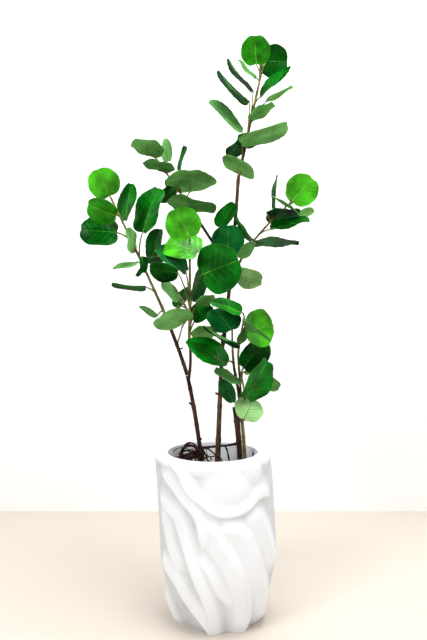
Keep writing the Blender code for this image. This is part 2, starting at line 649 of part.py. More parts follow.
def leaf_seen(stem, seen):
    """A leaf from how it looks: its sides against a round blade's give how far it tilts from the eye."""
    place, (right, height, depth), long_side, short_side, slope, spin, look = seen
    eye = Vector(EYE)
    nearer = (depth / 1000 - EYE[1]) / -EYE[1]
    middle = eye + (Vector((right / 1000, 0.0, height / 1000)) - eye) * nearer
    view = (eye - middle).normalized()
    rightward = Vector((0.0, 0.0, 1.0)).cross(view).normalized()
    slope, spin = math.radians(slope), math.radians(spin)
    long_way = rightward * math.cos(slope) + view.cross(rightward) * math.sin(slope)
    long_share = math.hypot(LEAF_SPAN * math.cos(spin), LEAF_WIDTH * math.sin(spin))
    length = long_side / 1000 * nearer / long_share
    flat = length * math.hypot(LEAF_SPAN * math.sin(spin), LEAF_WIDTH * math.cos(spin))
    tilt = math.copysign(math.acos(min(abs(short_side) / 1000 * nearer / flat, 1.0)), short_side)
    shown = view * math.cos(tilt) + view.cross(long_way) * math.sin(tilt)
    along = long_way * math.cos(spin) + shown.cross(long_way) * math.sin(spin)
    face = -shown if look in BACKS_SHOWN else shown
    base = middle - along * (LEAF_MIDDLE * length)
    return dict(start=bezier_point(stem, place), base=base, along=along, face=face, length=length)


def leaf_outline(angle):
    """The blade's edge at an angle from its tip, in shares of its length: round, with a shallow
    notch at the tip and a heart-shaped one where the stalk joins."""
    reach = 1.0
    for (depth, width), away in ((TIP_NOTCH, angle), (BASE_NOTCH, math.pi - abs(angle))):
        reach -= depth * math.exp(-((away / width) ** 2))
    return LEAF_WIDTH / 2 * math.sin(angle) * reach, LEAF_MIDDLE + LEAF_REACH * math.cos(angle) * reach


def leaf_height(across, along):
    """How far the blade rises from its flat: edges up along the rib, tip bent down."""
    return LEAF_FOLD * abs(across) - LEAF_CURL * along * along + LEAF_DISH * across * across


def leaf_blade(length, thickness):
    """A closed blade from a filled circle, in its own frame: X across, Y to the tip, Z up."""
    work = bmesh.new()
    made = bmesh.ops.create_circle(work, cap_ends=True, radius=1.0, segments=LEAF_POINTS)
    bmesh.ops.poke(work, faces=work.faces[:])
    ring = {vert.index for vert in made["verts"]}
    work.verts.ensure_lookup_table()
    for vert in work.verts:
        across, along = 0.0, 0.5
        if vert.index in ring:
            across, along = leaf_outline(math.atan2(vert.co.x, vert.co.y))
        vert.co = Vector((across, along, leaf_height(across, along))) * length
    bmesh.ops.recalc_face_normals(work, faces=work.faces)
    if sum(face.normal.z for face in work.faces) < 0:
        bmesh.ops.reverse_faces(work, faces=work.faces)
    bmesh.ops.solidify(work, geom=work.faces[:], thickness=thickness)
    bmesh.ops.recalc_face_normals(work, faces=work.faces)
    return work


def placed(work, base, along, face):
    side = along.cross(face)
    work.transform(Matrix((side, along, face)).transposed().to_4x4())
    work.transform(Matrix.Translation(base))
    return work


def add_stalk(work, start, end, thick, thin):
    """A three-sided rod between two points, added to a mesh."""
    run = end - start
    turn = run.to_track_quat("Z", "Y").to_matrix().to_4x4()
    matrix = Matrix.Translation((start + end) / 2) @ turn
    bmesh.ops.create_cone(
        work, cap_ends=True, segments=3, radius1=thick, radius2=thin, depth=run.length, matrix=matrix
    )


def leaf_plan(mass):
    """Every leaf of a mass: those seen from the front, then one that each broad leaf hides behind it."""
    stem = mass["stem"]
    plan = [leaf_seen(stem, seen) for seen in mass["leaves"]]
    dice = random.Random(mass["seed"])
    behind, wander, climb = HIDDEN["behind"], HIDDEN["wander"], HIDDEN["climb"]
    for place, (right, height, depth), long_side, short_side, slope, spin, look in mass["leaves"]:
        if abs(short_side) < BROAD * long_side:
            continue
        stem_depth = bezier_point(stem, place).y * 1000
        further = max(stem_depth + behind[len(plan) % 2], depth + behind[0]) + dice.uniform(-wander, wander)
        middle = (right + dice.uniform(-wander, wander), height + dice.uniform(-wander, wander), further)
        size = abs(short_side) * dice.uniform(*HIDDEN["size"])
        place = min(max(place + dice.uniform(-climb, climb), 0.1), 1.0)
        hidden_side = -size * dice.uniform(*HIDDEN["narrow"])
        slope = dice.uniform(-HIDDEN["slope"], HIDDEN["slope"])
        plan.append(leaf_seen(stem, (place, middle, size, hidden_side, slope, 90, "pale")))
    return plan


def leaf_parts(leaf, extra=0.0, stalk_extra=0.0):
    """A leaf's blade and the stalk that reaches under it, as closed meshes."""
    length = leaf["length"]
    lift = leaf["face"] * (LEAF_THICKNESS * LEAF_LIFT + extra)
    blade = leaf_blade(length, LEAF_THICKNESS + 2 * extra)
    placed(blade, leaf["base"] + lift, leaf["along"], leaf["face"])
    stalk = bmesh.new()
    root = leaf["start"] - (leaf["base"] - leaf["start"]).normalized() * STALK_ROOT
    sunk = leaf["base"] + leaf["along"] * (length * STALK_SUNK)
    add_stalk(stalk, root, sunk, STALK_RADIUS + stalk_extra, STALK_RADIUS * STALK_TAPER + stalk_extra)
    return [blade, stalk]


def tree_of(work):
    work.faces.ensure_lookup_table()
    return BVHTree.FromBMesh(work)


def tree_of_mesh(mesh):
    work = bmesh.new()
    work.from_mesh(mesh)
    tree = tree_of(work)
    work.free()
    return tree


def fuse(name, stem_mesh, parts, material, collection, cutters):
    """One Boolean union of a mass's stem, twigs and leaves."""
    thing = add_object(name, stem_mesh, material, collection, smooth=False)
    for number, part in enumerate(parts):
        mesh = bpy.data.meshes.new(f"{name}_{number}")
        part.to_mesh(mesh)
        cutters.objects.link(bpy.data.objects.new(mesh.name, mesh))
    union = thing.modifiers.new("union", "BOOLEAN")
    union.operation = "UNION"
    union.operand_type = "COLLECTION"
    union.collection = cutters
    for solver in ("EXACT", "MANIFOLD"):
        union.solver = solver
        mesh = evaluated_mesh(thing)
        keep_largest(mesh)
        if is_closed(mesh):
            break
    thing.modifiers.clear()
    thing.data = mesh
    for piece in list(cutters.objects):
        bpy.data.objects.remove(piece)


def build_stem(name, mass, cutters):
    """A mass's stem as a tapering rod, cut clear of the limb it meets."""
    shares = [step / STEM_STEPS for step in range(STEM_STEPS + 1)]
    thick, thin = mass["radii"]
    route = [bezier_point(mass["stem"], share) for share in shares]
    radii = [thick + (thin - thick) * share for share in shares]
    stem = bpy.data.objects.new(name + "_stem", tube_mesh(name, route, radii, 0))
    bpy.context.scene.collection.objects.link(stem)
    cut_clear(stem, [wider_limb(mass["start_on"], GAP)], cutters)
    mesh = stem.data
    bpy.data.objects.remove(stem)
    return mesh


def build_masses(collection, cutters, materials):
    """Each mass: its stem, and each leaf whose blade touches no other one and which keeps off the limbs
    and the other masses."""
    limbs = [tree_of_mesh(wider_limb(name, CLEARANCE)) for name in LIMBS]
    others = []
    for name, mass in MASSES.items():
        stem_mesh = build_stem(name, mass, cutters)
        parts = []
        blades = []
        stalks = []
        for leaf in leaf_plan(mass):
            blade, stalk = (tree_of(part) for part in leaf_parts(leaf, CLEARANCE, GAP))
            if any(blade.overlap(tree) or stalk.overlap(tree) for tree in limbs + others):
                continue
            if any(blade.overlap(tree) for tree in blades):
                continue
            parts += leaf_parts(leaf)
            blades.append(blade)
            stalks.append(stalk)
        others += blades + stalks + [tree_of_mesh(stem_mesh)]
        fuse(name, stem_mesh, parts, materials["leaf_" + mass["tint"]], collection, cutters)


def main():
    for thing in list(bpy.data.objects):
        bpy.data.objects.remove(thing)
    collection = bpy.data.collections.new("potted_coccoloba")
    cutters = bpy.data.collections.new("cutters")
    bpy.context.scene.collection.children.link(collection)
    bpy.context.scene.collection.children.link(cutters)
    materials = {tint: make_material(tint, 0.75) for tint in ("dark", "brown", "green")}
    for tint in ("leaf_bright", "leaf_mixed", "leaf_pale", "leaf_dark"):
        materials[tint] = make_material(tint, 0.40)
    build_planter(collection)
    build_limbs(LIMBS, collection, cutters, materials)
    build_limbs(STRANDS, collection, cutters, materials)
    build_masses(collection, cutters, materials)


main()
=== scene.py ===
import math
import random

import bmesh
import bpy
import numpy as np
from mathutils import Matrix, Vector


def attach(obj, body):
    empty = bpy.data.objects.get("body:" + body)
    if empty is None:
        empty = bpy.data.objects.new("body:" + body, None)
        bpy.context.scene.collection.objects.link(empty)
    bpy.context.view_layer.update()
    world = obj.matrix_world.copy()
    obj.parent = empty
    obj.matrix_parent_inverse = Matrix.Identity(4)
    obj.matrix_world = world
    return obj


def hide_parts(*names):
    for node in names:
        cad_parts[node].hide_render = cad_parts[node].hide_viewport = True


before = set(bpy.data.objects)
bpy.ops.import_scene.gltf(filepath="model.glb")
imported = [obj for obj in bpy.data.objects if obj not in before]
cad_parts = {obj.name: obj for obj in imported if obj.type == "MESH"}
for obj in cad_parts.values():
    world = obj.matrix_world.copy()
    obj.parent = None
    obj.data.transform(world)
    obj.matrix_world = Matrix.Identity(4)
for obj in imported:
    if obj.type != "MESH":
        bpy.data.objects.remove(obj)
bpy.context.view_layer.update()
print("frame loaded")


# Shader maths: a wire is one output socket, and plain arithmetic on wires adds Math nodes
class Wire:
    def __init__(self, finish, socket):
        self.finish = finish
        self.socket = socket

    def maths(self, operation, first, second):
        return self.finish.node("ShaderNodeMath", {"operation": operation}, {0: first, 1: second})

    def __add__(self, other):
        return self.maths("ADD", self, other)

    def __radd__(self, other):
        return self.maths("ADD", other, self)

    def __mul__(self, other):
        return self.maths("MULTIPLY", self, other)

    def __rmul__(self, other):
        return self.maths("MULTIPLY", other, self)


# One material, with the few kinds of nodes that the finishes here need
class Finish:
    def __init__(self, name, colour, roughness, **plain):
        self.material = bpy.data.materials.new(name)
        self.material.use_nodes = True
        self.material.diffuse_color = (*colour, 1.0)
        self.tree = self.material.node_tree
        self.shader = self.tree.nodes["Principled BSDF"]
        self.shader.inputs["Base Color"].default_value = (*colour, 1.0)
        self.shader.inputs["Roughness"].default_value = roughness
        for socket, value in plain.items():
            self.shader.inputs[socket.replace("_", " ")].default_value = value

    def node(self, kind, settings=None, inputs=None, output=0):
        made = self.tree.nodes.new(kind)
        for key, value in (settings or {}).items():
            setattr(made, key, value)
        for key, value in (inputs or {}).items():
            if isinstance(value, Wire):
                self.tree.links.new(value.socket, made.inputs[key])
            else:
                made.inputs[key].default_value = value
        return Wire(self, made.outputs[output])

    def place(self, scale=(1.0, 1.0, 1.0)):
        spot = self.node("ShaderNodeTexCoord", output="Object")
        return self.node("ShaderNodeMapping", {}, {"Vector": spot, "Scale": scale})

    def noise(self, scale, detail=3.0, where=None):
        inputs = {"Vector": where or self.place(), "Scale": scale, "Detail": detail, "Roughness": 0.55}
        return self.node("ShaderNodeTexNoise", {}, inputs)

    def blend(self, share, first, second):
        ends = [value if isinstance(value, Wire) else (*value, 1.0) for value in (first, second)]
        inputs = {"Factor": share, 6: ends[0], 7: ends[1]}
        return self.node("ShaderNodeMix", {"data_type": "RGBA"}, inputs, output=2)

    def spread(self, value, low, high, least=0.0, most=1.0):
        inputs = {"Value": value, "From Min": low, "From Max": high, "To Min": least, "To Max": most}
        return self.node("ShaderNodeMapRange", {}, inputs)

    def drive(self, socket, wire):
        self.tree.links.new(wire.socket, self.shader.inputs[socket])

    def bump(self, height, strength, distance):
        inputs = {"Height": height, "Strength": strength, "Distance": distance}
        self.drive("Normal", self.node("ShaderNodeBump", {}, inputs))


# Leaf colours, one for each way a leaf looks in the crown, its veins and its back. The face tones from
# bright to deep and the back tones light, pale and olive are lighter and darker copies of one leaf green:
# partly the leaves' own tone, partly painted light and shade for how each leaf faces the light. The blue in
# deep is a painted reflection, the sheen on those leaves.
leafLook = {
    "bright": (0.045, 0.320, 0.007),
    "fresh": (0.018, 0.225, 0.004),
    "mid": (0.003, 0.145, 0.006),
    "dark": (0.0020, 0.076, 0.004),
    "deep": (0.0040, 0.092, 0.017),
    "light": (0.300, 0.560, 0.215),
    "pale": (0.175, 0.440, 0.125),
    "soft": (0.075, 0.220, 0.055),
    "olive": (0.105, 0.290, 0.078),
    "rib": (0.200, 0.430, 0.070),
    "veinBright": (0.060, 0.290, 0.028),
    "veinDark": (0.018, 0.170, 0.018),
    "veinBack": (0.110, 0.260, 0.060),
    "roughness": {"face": 0.50, "back": 0.80}, "sheenRoughness": 0.24,
    "sheen": {"bright": 0.40, "fresh": 0.22, "mid": 0.16, "dark": 0.10, "deep": 0.10},
    "mottle": {"face": 0.50, "back": 0.24},  # how much one leaf's colour wanders either way
}


def leafFinish(name, side):
    colour, roughness, mottle = leafLook[name], leafLook["roughness"][side], leafLook["mottle"][side]
    sheen = leafLook["sheen"].get(name, 0.0)
    look = Finish("leaf_" + name, colour, roughness, Specular_IOR_Level=0.0, Coat_Weight=sheen,
                  Coat_Roughness=leafLook["sheenRoughness"])
    cloud = look.noise(16.0, 1.0) * 0.72 + look.noise(60.0, 3.0) * 0.28
    deeper = tuple(value * (1.0 - mottle) for value in colour)
    paler = tuple(value * (1.0 + mottle) for value in colour)
    look.drive("Base Color", look.blend(look.spread(cloud, 0.38, 0.62), deeper, paler))
    grain = look.noise(520.0, 2.0)
    look.drive("Roughness", look.spread(grain, 0.3, 0.7, roughness - 0.06, roughness + 0.08))
    look.bump(look.noise(90.0, 3.0) * 0.85 + grain * 0.15, 0.75, 0.0032)
    return look.material


barkLook = {
    "barkDark": ((0.006, 0.002, 0.002), (0.100, 0.040, 0.026)),
    "barkBrown": ((0.008, 0.003, 0.002), (0.170, 0.085, 0.040)),
    "barkGreen": ((0.022, 0.018, 0.006), (0.300, 0.260, 0.090)),
    "vineRed": ((0.004, 0.001, 0.001), (0.070, 0.022, 0.014)),
    "twigBrown": ((0.045, 0.030, 0.008), (0.330, 0.260, 0.090)),
    "twigGreen": ((0.070, 0.062, 0.010), (0.420, 0.380, 0.110)),
    "stalkGreen": ((0.050, 0.052, 0.012), (0.300, 0.270, 0.090)),
    "roughness": 0.78,
}


def barkFinish(name):
    dark, pale = barkLook[name]
    roughness = barkLook["roughness"]
    look = Finish(name, dark, roughness, Specular_IOR_Level=0.2)
    fibre = look.noise(150.0, 5.0, look.place((1.0, 1.0, 0.14)))
    patch = look.noise(34.0, 3.0)
    look.drive("Base Color", look.blend(look.spread(fibre * 0.6 + patch * 0.4, 0.38, 0.64), dark, pale))
    look.drive("Roughness", look.spread(fibre, 0.3, 0.7, roughness - 0.14, roughness + 0.12))
    look.bump(fibre, 0.7, 0.0012)
    return look.material


# The shell is white with cream clouds; shade is the painted shade colour laid into the hollows of its folds
shellLook = {
    "white": (0.865, 0.888, 0.922), "cream": (0.840, 0.862, 0.895), "shade": (0.500, 0.515, 0.530),
    "roughness": 0.55,
}


def shellFinish():
    look = Finish("matteShell", shellLook["white"], shellLook["roughness"])
    cloud = look.spread(look.noise(6.0, 3.0), 0.35, 0.65)
    worn = look.spread(look.noise(30.0, 5.0), 0.45, 0.75)
    # Painted shade: the colour goes up to 80% of the way to the shade colour where the wall lies deepest in
    # a fold's hollow, a little less where the noise is low
    hollowShade = look.node("ShaderNodeAttribute", {"attribute_name": "hollowShade"}, output="Fac")
    body = look.blend(cloud * 0.6 + worn * 0.2, shellLook["white"], shellLook["cream"])
    deep = look.spread(hollowShade, 0.45, 1.0) * (worn * 0.3 + 0.7)
    look.drive("Base Color", look.blend(deep * 0.8, body, shellLook["shade"]))
    pores = look.noise(300.0, 3.0)
    look.drive("Roughness", look.spread(pores, 0.3, 0.7, 0.46, 0.62))
    look.bump(pores, 0.10, 0.0006)
    return look.material


def fillFinish():
    look = Finish("brownFilling", (0.06, 0.04, 0.025), 0.95)
    crumbs = look.noise(140.0, 6.0)
    dark, pale = (0.030, 0.018, 0.011), (0.115, 0.075, 0.045)
    look.drive("Base Color", look.blend(look.spread(crumbs, 0.35, 0.65), dark, pale))
    look.drive("Roughness", look.spread(crumbs, 0.3, 0.7, 0.88, 1.0))
    look.bump(crumbs, 0.8, 0.004)
    return look.material


faceNames = ("bright", "fresh", "mid", "dark", "deep", "rib", "veinBright", "veinDark")
backNames = ("light", "pale", "soft", "olive", "veinBack")
finishes = {name: leafFinish(name, "face") for name in faceNames}
finishes.update({name: leafFinish(name, "back") for name in backNames})
finishes.update({name: barkFinish(name) for name in barkLook if name != "roughness"})
finishes["shell"] = shellFinish()
finishes["filling"] = fillFinish()
print("finishes made")


# A finished bmesh as an object that rides on the root body
def addPiece(name, work, looks, slot, *nodes, sharp=48):
    mesh = bpy.data.meshes.new(name)
    work.to_mesh(mesh)
    work.free()
    for look in looks:
        mesh.materials.append(finishes[look])
    mesh.shade_smooth()
    mesh.set_sharp_from_angle(angle=math.radians(sharp))
    piece = bpy.data.objects.new(name, mesh)
    bpy.context.scene.collection.objects.link(piece)
    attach(piece, "root")
    if nodes:
        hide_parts(*nodes)
    return piece


# Planter: a rounded barrel with folds that run down it. A fold is whether it drops under its left side
# or past its right one, how far it stands out against the others, how far its short side runs, and its
# line as (degrees round the axis, height in mm), and the back repeats them
planter = {
    "height": 0.482, "lipOuter": 0.1375, "lipInner": 0.1345, "floorTop": 0.025, "lipRise": 0.0006,
    "footRadius": 0.136, "bellyRadius": 0.184, "bellyHeight": 0.20, "bellyRounding": 0.9,
    "topRadius": 0.184, "shoulder": 0.018, "footDepth": 0.018, "upperDepth": 0.011, "fadeHeight": 0.26,
    "wall": 0.005, "cavity": ((0.025, 0.104), (0.10, 0.118), (0.25, 0.125), (0.40, 0.132), (0.482, 0.1345)),
    "lean": ((0.0, 0.0090), (0.10, 0.0105), (0.25, 0.0080), (0.40, -0.0005), (0.482, -0.0075)),
    "steps": 420, "shoulderRings": 10, "wallRings": 180, "sharp": 30,
    "reach": 0.068, "fade": 0.060, "blend": 8, "crisp": 0.62,  # of a short side's run in the solid
    "swell": {"turn": 283, "height": 0.408, "halfSize": (0.085, 0.060), "share": 0.9},  # between the ledges
    "folds": {
        "left_corner": ("under", 1.0, 0.014, ((188, 110), (194, 52), (201, 0))),
        "left_low": ("under", 1.0, 0.014, (
            (203, 225), (211, 182), (219, 161), (227, 143), (233, 116), (239, 91), (252, 43), (262, 0),
        )),
        "left_edge": ("under", 0.9, 0.012, (
            (203, 350), (211, 313), (216, 275), (220, 239), (226, 205), (229, 175), (231, 141),
        )),
        "left_long": ("under", 0.9, 0.012, (
            (200, 385), (211, 356), (219, 340), (229, 325), (234, 295), (238, 259), (242, 226), (247, 185),
            (252, 146), (257, 109), (261, 67), (266, 0),
        )),
        "left_short": ("under", 0.8, 0.014, (
            (207, 455), (218, 427), (228, 406), (239, 373), (248, 350), (253, 322), (256, 287), (258, 255),
            (259, 223),
        )),
        "front_low": ("under", 0.6, 0.030, (
            (241, 235), (248, 221), (255, 212), (260, 198), (265, 173), (269, 148), (274, 125), (280, 106),
            (286, 84), (293, 55),
        )),
        "front_corner": ("past", 1.0, 0.045, (
            (251, 334), (260, 320), (267, 303), (272, 285), (276, 260), (281, 236), (286, 210), (290, 181),
            (294, 148), (298, 111), (302, 66), (306, 0),
        )),
        "right_corner": ("past", 1.0, 0.045, (
            (265, 305), (274, 305), (284, 301), (292, 294), (298, 280), (302, 254), (306, 224), (309, 197),
            (312, 172), (316, 143), (322, 108), (332, 60), (350, 0),
        )),
        "middle_ledge": ("under", 0.9, 0.014, (
            (222, 482), (230, 467), (236, 445), (240, 418), (246, 396), (255, 378), (262, 362), (268, 351),
            (274, 344), (281, 341), (288, 344), (296, 350), (303, 358), (309, 372), (315, 381), (324, 379),
            (338, 370),
        )),
        "right_side": ("past", 1.0, 0.045, (
            (303, 378), (305, 370), (308, 353), (312, 328), (317, 303), (322, 274), (327, 242), (333, 200),
            (340, 150),
        )),
        "top_ledge": ("under", 0.35, 0.020, (
            (232, 482), (241, 469), (246, 458), (252, 452), (259, 450), (267, 450), (278, 451),
        )),
        "top_right": ("past", 0.9, 0.045, ((306, 482), (308, 462), (310, 439), (313, 418), (317, 397))),
    },
}


def ease(start, end, values):
    share = np.clip((values - start) / (end - start), 0, 1)
    return share * share * (3 - 2 * share)


# Points along a smooth curve through the given ones
def smoothLine(points, steps=6):
    knots = np.vstack([2 * points[0] - points[1], points, 2 * points[-1] - points[-2]])
    line = []
    for before, first, second, after in zip(knots, knots[1:], knots[2:], knots[3:]):
        for share in np.arange(steps) / steps:
            bend = (2 * before - 5 * first + 4 * second - after) * share ** 2
            bend = bend + (3 * first - before - 3 * second + after) * share ** 3
            line.append(first + ((second - before) * share + bend) / 2)
    return np.array(line + [points[-1]])


# How far one fold stands out at each place: 1 on its line, less on its broad side and soon 0 on the other
def foldRelief(around, heights, line, drop, shortRun):
    nearest = np.full(around.shape, np.inf)
    side = np.zeros_like(nearest)
    along = np.zeros_like(nearest)
    run = 0.0
    for start, end in zip(line, line[1:]):
        way = end - start
        length = np.hypot(*way)
        offAround, offUp = around - start[0], heights - start[1]
        share = np.clip((offAround * way[0] + offUp * way[1]) / length ** 2, 0, 1)
        distance = np.hypot(offAround - share * way[0], offUp - share * way[1])
        closer = distance < nearest
        nearest = np.where(closer, distance, nearest)
        side = np.where(closer, way[0] * offUp - way[1] * offAround, side)
        along = np.where(closer, run + share * length, along)
        run += length
    broadSide = (side > 0) == (drop == "under")
    shortRun *= planter["crisp"] if drop == "under" else 1.0
    away = np.clip(nearest / np.where(broadSide, planter["reach"], shortRun), 0, 1)
    relief = np.where(broadSide, 1 - ease(0, 1, away), 1 - away) if drop == "under" else 1 - away
    if line[0][1] < planter["height"] - planter["shoulder"]:
        relief = relief * ease(0, planter["fade"], along)
    if line[-1][1] > 0:
        relief = relief * ease(0, planter["fade"], run - along)
    return relief


# The planter's outer radius at each place, and how deep in a hollow it lies, from 0 to 1, which sets the
# painted shade of the hollows
def wallRadius(angles, heights):
    belly, height = planter["bellyRadius"], planter["height"]
    blend = np.zeros_like(angles)
    for drop, share, shortRun, points in planter["folds"].values():
        line = smoothLine(np.array([(math.radians(turn) * belly, up / 1000) for turn, up in points]))
        low, high = line[:, 0].min() - planter["reach"], line[:, 0].max() + planter["reach"]
        for halfTurns in (-2, -1, 0, 1, 2):
            around = (angles + halfTurns * math.pi) * belly
            near = (around > low) & (around < high)
            if near.any():
                relief = foldRelief(around[near], heights[near], line, drop, shortRun)
                blend[near] += (share * relief) ** planter["blend"]
    swell = planter["swell"]
    for halfTurns in (-2, -1, 0, 1, 2):
        turned = angles + halfTurns * math.pi - math.radians(swell["turn"])
        offAround = turned * belly / swell["halfSize"][0]
        offUp = (heights - swell["height"]) / swell["halfSize"][1]
        blend += (swell["share"] * np.exp(-offAround ** 2 - offUp ** 2)) ** planter["blend"]
    relief = np.minimum(blend ** (1 / planter["blend"]), 1)
    rise = np.sin(np.clip(heights / planter["bellyHeight"], 0, 1) * math.pi / 2) ** planter["bellyRounding"]
    barrel = planter["footRadius"] + (belly - planter["footRadius"]) * rise
    barrel -= (belly - planter["topRadius"]) * ease(planter["bellyHeight"], height, heights)
    extra = (planter["footDepth"] - planter["upperDepth"]) * (1 - ease(0, planter["fadeHeight"], heights))
    wanted = barrel - (planter["upperDepth"] + extra) * (1 - relief)
    above = np.clip((heights - height + planter["shoulder"]) / planter["shoulder"], 0, 1)
    arch = np.sqrt(1 - above ** 2)
    return planter["lipOuter"] + (wanted - planter["lipOuter"]) * arch, (1 - relief) * arch


def between(stations, height):
    return float(np.interp(height, *zip(*stations)))


def buildPlanter():
    height, shoulder, belly = planter["height"], planter["shoulder"], planter["bellyRadius"]
    outer = [height - shoulder * (1 - math.cos(math.pi / 2 * step / planter["shoulderRings"]))
             for step in range(1, planter["shoulderRings"] + 1)]
    wallRings = planter["wallRings"]
    outer += [(height - shoulder) * (1 - step / wallRings) for step in range(1, wallRings)]
    profile = [(0.0, planter["floorTop"])] + [(radius, level) for level, radius in planter["cavity"]]
    profile += [((planter["lipInner"] + planter["lipOuter"]) / 2, height + planter["lipRise"])]
    profile += [(planter["lipOuter"], height)] + [(belly, level) for level in outer]
    profile += [(belly, 0.0), (0.0, 0.0)]
    work = bmesh.new()
    # Each wall point keeps how deep it lies in a hollow, which the shell's colour turns into painted shade
    layer = work.verts.layers.float.new("hollowShade")
    ring = [work.verts.new((radius, 0.0, level)) for radius, level in profile]
    edges = [work.edges.new(pair) for pair in zip(ring, ring[1:])]
    steps = planter["steps"]
    bmesh.ops.spin(work, geom=ring + edges, axis=(0, 0, 1), angle=math.tau, steps=steps, use_merge=True)
    bmesh.ops.remove_doubles(work, verts=work.verts, dist=0.00001)
    bmesh.ops.recalc_face_normals(work, faces=work.faces)
    wall = [vert for vert in work.verts if math.hypot(vert.co.x, vert.co.y) > belly - 0.0001]
    inside = [vert for vert in work.verts if math.hypot(vert.co.x, vert.co.y) <= belly - 0.0001]
    angles = np.array([math.atan2(vert.co.y, vert.co.x) for vert in wall])
    levels = np.array([vert.co.z for vert in wall])
    for vert, angle, radius, hollowShade in zip(wall, angles, *wallRadius(angles, levels)):
        radius = max(radius, between(planter["cavity"], vert.co.z) + planter["wall"])
        radius += between(planter["lean"], vert.co.z) * math.cos(angle)
        vert.co.x = radius * math.cos(angle)
        vert.co.y = radius * math.sin(angle)
        vert[layer] = hollowShade
    for vert in inside:
        vert.co.x += between(planter["lean"], vert.co.z)
    addPiece("planterShell", work, ["shell"], "planter", "planter", sharp=planter["sharp"])


buildPlanter()
bpy.data.objects["planter_fill"].material_slots[0].material = finishes["filling"]
print("planter made")


def bezierPoint(points, share):
    first, middle, last = (Vector(point) for point in points)
    return first * (1 - share) ** 2 + middle * 2 * share * (1 - share) + last * share ** 2


def bezierSlope(points, share):
    first, middle, last = (Vector(point) for point in points)
    return ((middle - first) * (1 - share) + (last - middle) * share).normalized()


# Rings along a route, each as (centre, sideways, upwards), the two as long as the radius there
def ringsAlong(points, radii):
    rings = []
    across = Vector((1.0, 0.0, 0.0))
    for number, (point, radius) in enumerate(zip(points, radii)):
        slope = (points[min(number + 1, len(points) - 1)] - points[max(number - 1, 0)]).normalized()
        if abs(across.dot(slope)) > 0.98:
            across = Vector((0.0, 1.0, 0.0))
        across = (across - slope * across.dot(slope)).normalized()
        rings.append((point, across * radius, slope.cross(across) * radius))
    return rings


straightTubes = {}


# A straight capped tube from z = 0 to 1, bent along its rings. Relief widens it by angle and share.
def addTube(work, rings, sides, look=0, relief=None):
    steps = len(rings) - 1
    if (sides, steps) not in straightTubes:
        tube = bmesh.new()
        half = Matrix.Translation((0.0, 0.0, 0.5))
        bmesh.ops.create_cone(tube, cap_ends=True, segments=sides, radius1=1.0, radius2=1.0, depth=1.0,
                              matrix=half)
        rising = [edge for edge in tube.edges if abs(edge.verts[0].co.z - edge.verts[1].co.z) > 0.5]
        bmesh.ops.subdivide_edges(tube, edges=rising, cuts=steps - 1)
        straightTubes[sides, steps] = bpy.data.meshes.new("tube")
        tube.to_mesh(straightTubes[sides, steps])
        tube.free()
    piece = bmesh.new()
    piece.from_mesh(straightTubes[sides, steps])
    for vert in piece.verts:
        share = vert.co.z
        centre, across, upward = rings[round(share * steps)]
        wider = relief(math.atan2(vert.co.y, vert.co.x), share) if relief else 1.0
        vert.co = centre + (across * vert.co.x + upward * vert.co.y) * wider
    for face in piece.faces:
        face.material_index = look
    join(work, piece)


def join(work, piece):
    mesh = bpy.data.meshes.new("join")
    piece.to_mesh(mesh)
    piece.free()
    work.from_mesh(mesh)
    bpy.data.meshes.remove(mesh)


# Limbs: the route from foot over a handle to the tip, as in the frame, with old leaf rings and cut nubs
limbs = {
    "trunk_left": dict(
        route=((-0.036, 0.010, 0.3953), (-0.050, 0.010, 0.560), (-0.083, 0.004, 0.708)),
        radii=(0.0070, 0.0056), flare=0.0035, bark="barkDark", slot="bark_dark", rings=5,
    ),
    "trunk_middle": dict(
        route=((0.007, 0.030, 0.3953), (0.013, 0.030, 0.640), (0.0250, 0.030, 0.832)),
        radii=(0.0080, 0.0060), flare=0.0035, bark="barkBrown", slot="bark_brown", rings=6,
    ),
    "stub_right": dict(
        route=((0.078, 0.004, 0.3953), (0.074, 0.002, 0.500), (0.062, 0.000, 0.615)),
        radii=(0.0070, 0.0095), flare=0.002, bark="barkDark", slot="bark_dark", rings=3,
    ),
    "stem_right": dict(
        route=((0.090, -0.030, 0.3953), (0.086, -0.030, 0.600), (0.0560, -0.030, 0.734)),
        radii=(0.0056, 0.0040), flare=0.002, bark="barkGreen", slot="bark_green", rings=5,
    ),
    "bough_left": dict(
        route=((-0.0835, 0.0037, 0.7105), (-0.110, 0.000, 0.795), (-0.146, -0.010, 0.885)),
        radii=(0.0060, 0.0050), bark="barkDark", slot="bark_dark", rings=3,
    ),
    "bough_centre_left": dict(
        route=((-0.0800, 0.0045, 0.690), (-0.068, -0.010, 0.760), (-0.0764, -0.018, 0.811)),
        radii=(0.0046, 0.0038), bark="barkDark", slot="bark_dark", rings=2,
    ),
    "bough_tall": dict(
        route=((0.0245, 0.030, 0.800), (0.050, 0.052, 0.990), (0.0724, 0.050, 1.316)),
        radii=(0.0064, 0.0050), bark="barkBrown", slot="bark_brown", rings=8,
    ),
    "bough_right": dict(
        route=((0.0475, 0.047, 0.975), (0.060, 0.038, 1.025), (0.0796, 0.035, 1.060)),
        radii=(0.0044, 0.0038), bark="barkBrown", slot="bark_brown", rings=1,
    ),
    "bough_upper_left": dict(
        route=((0.0530, 0.0485, 1.030), (-0.005, 0.082, 1.115), (-0.0566, 0.095, 1.198)),
        radii=(0.0050, 0.0042), bark="barkBrown", slot="bark_brown", rings=3,
    ),
    "bough_low_right": dict(
        route=((0.0775, -0.030, 0.645), (0.072, -0.036, 0.710), (0.0674, -0.040, 0.770)),
        radii=(0.0034, 0.0030), bark="barkGreen", slot="bark_green", rings=1,
    ),
}
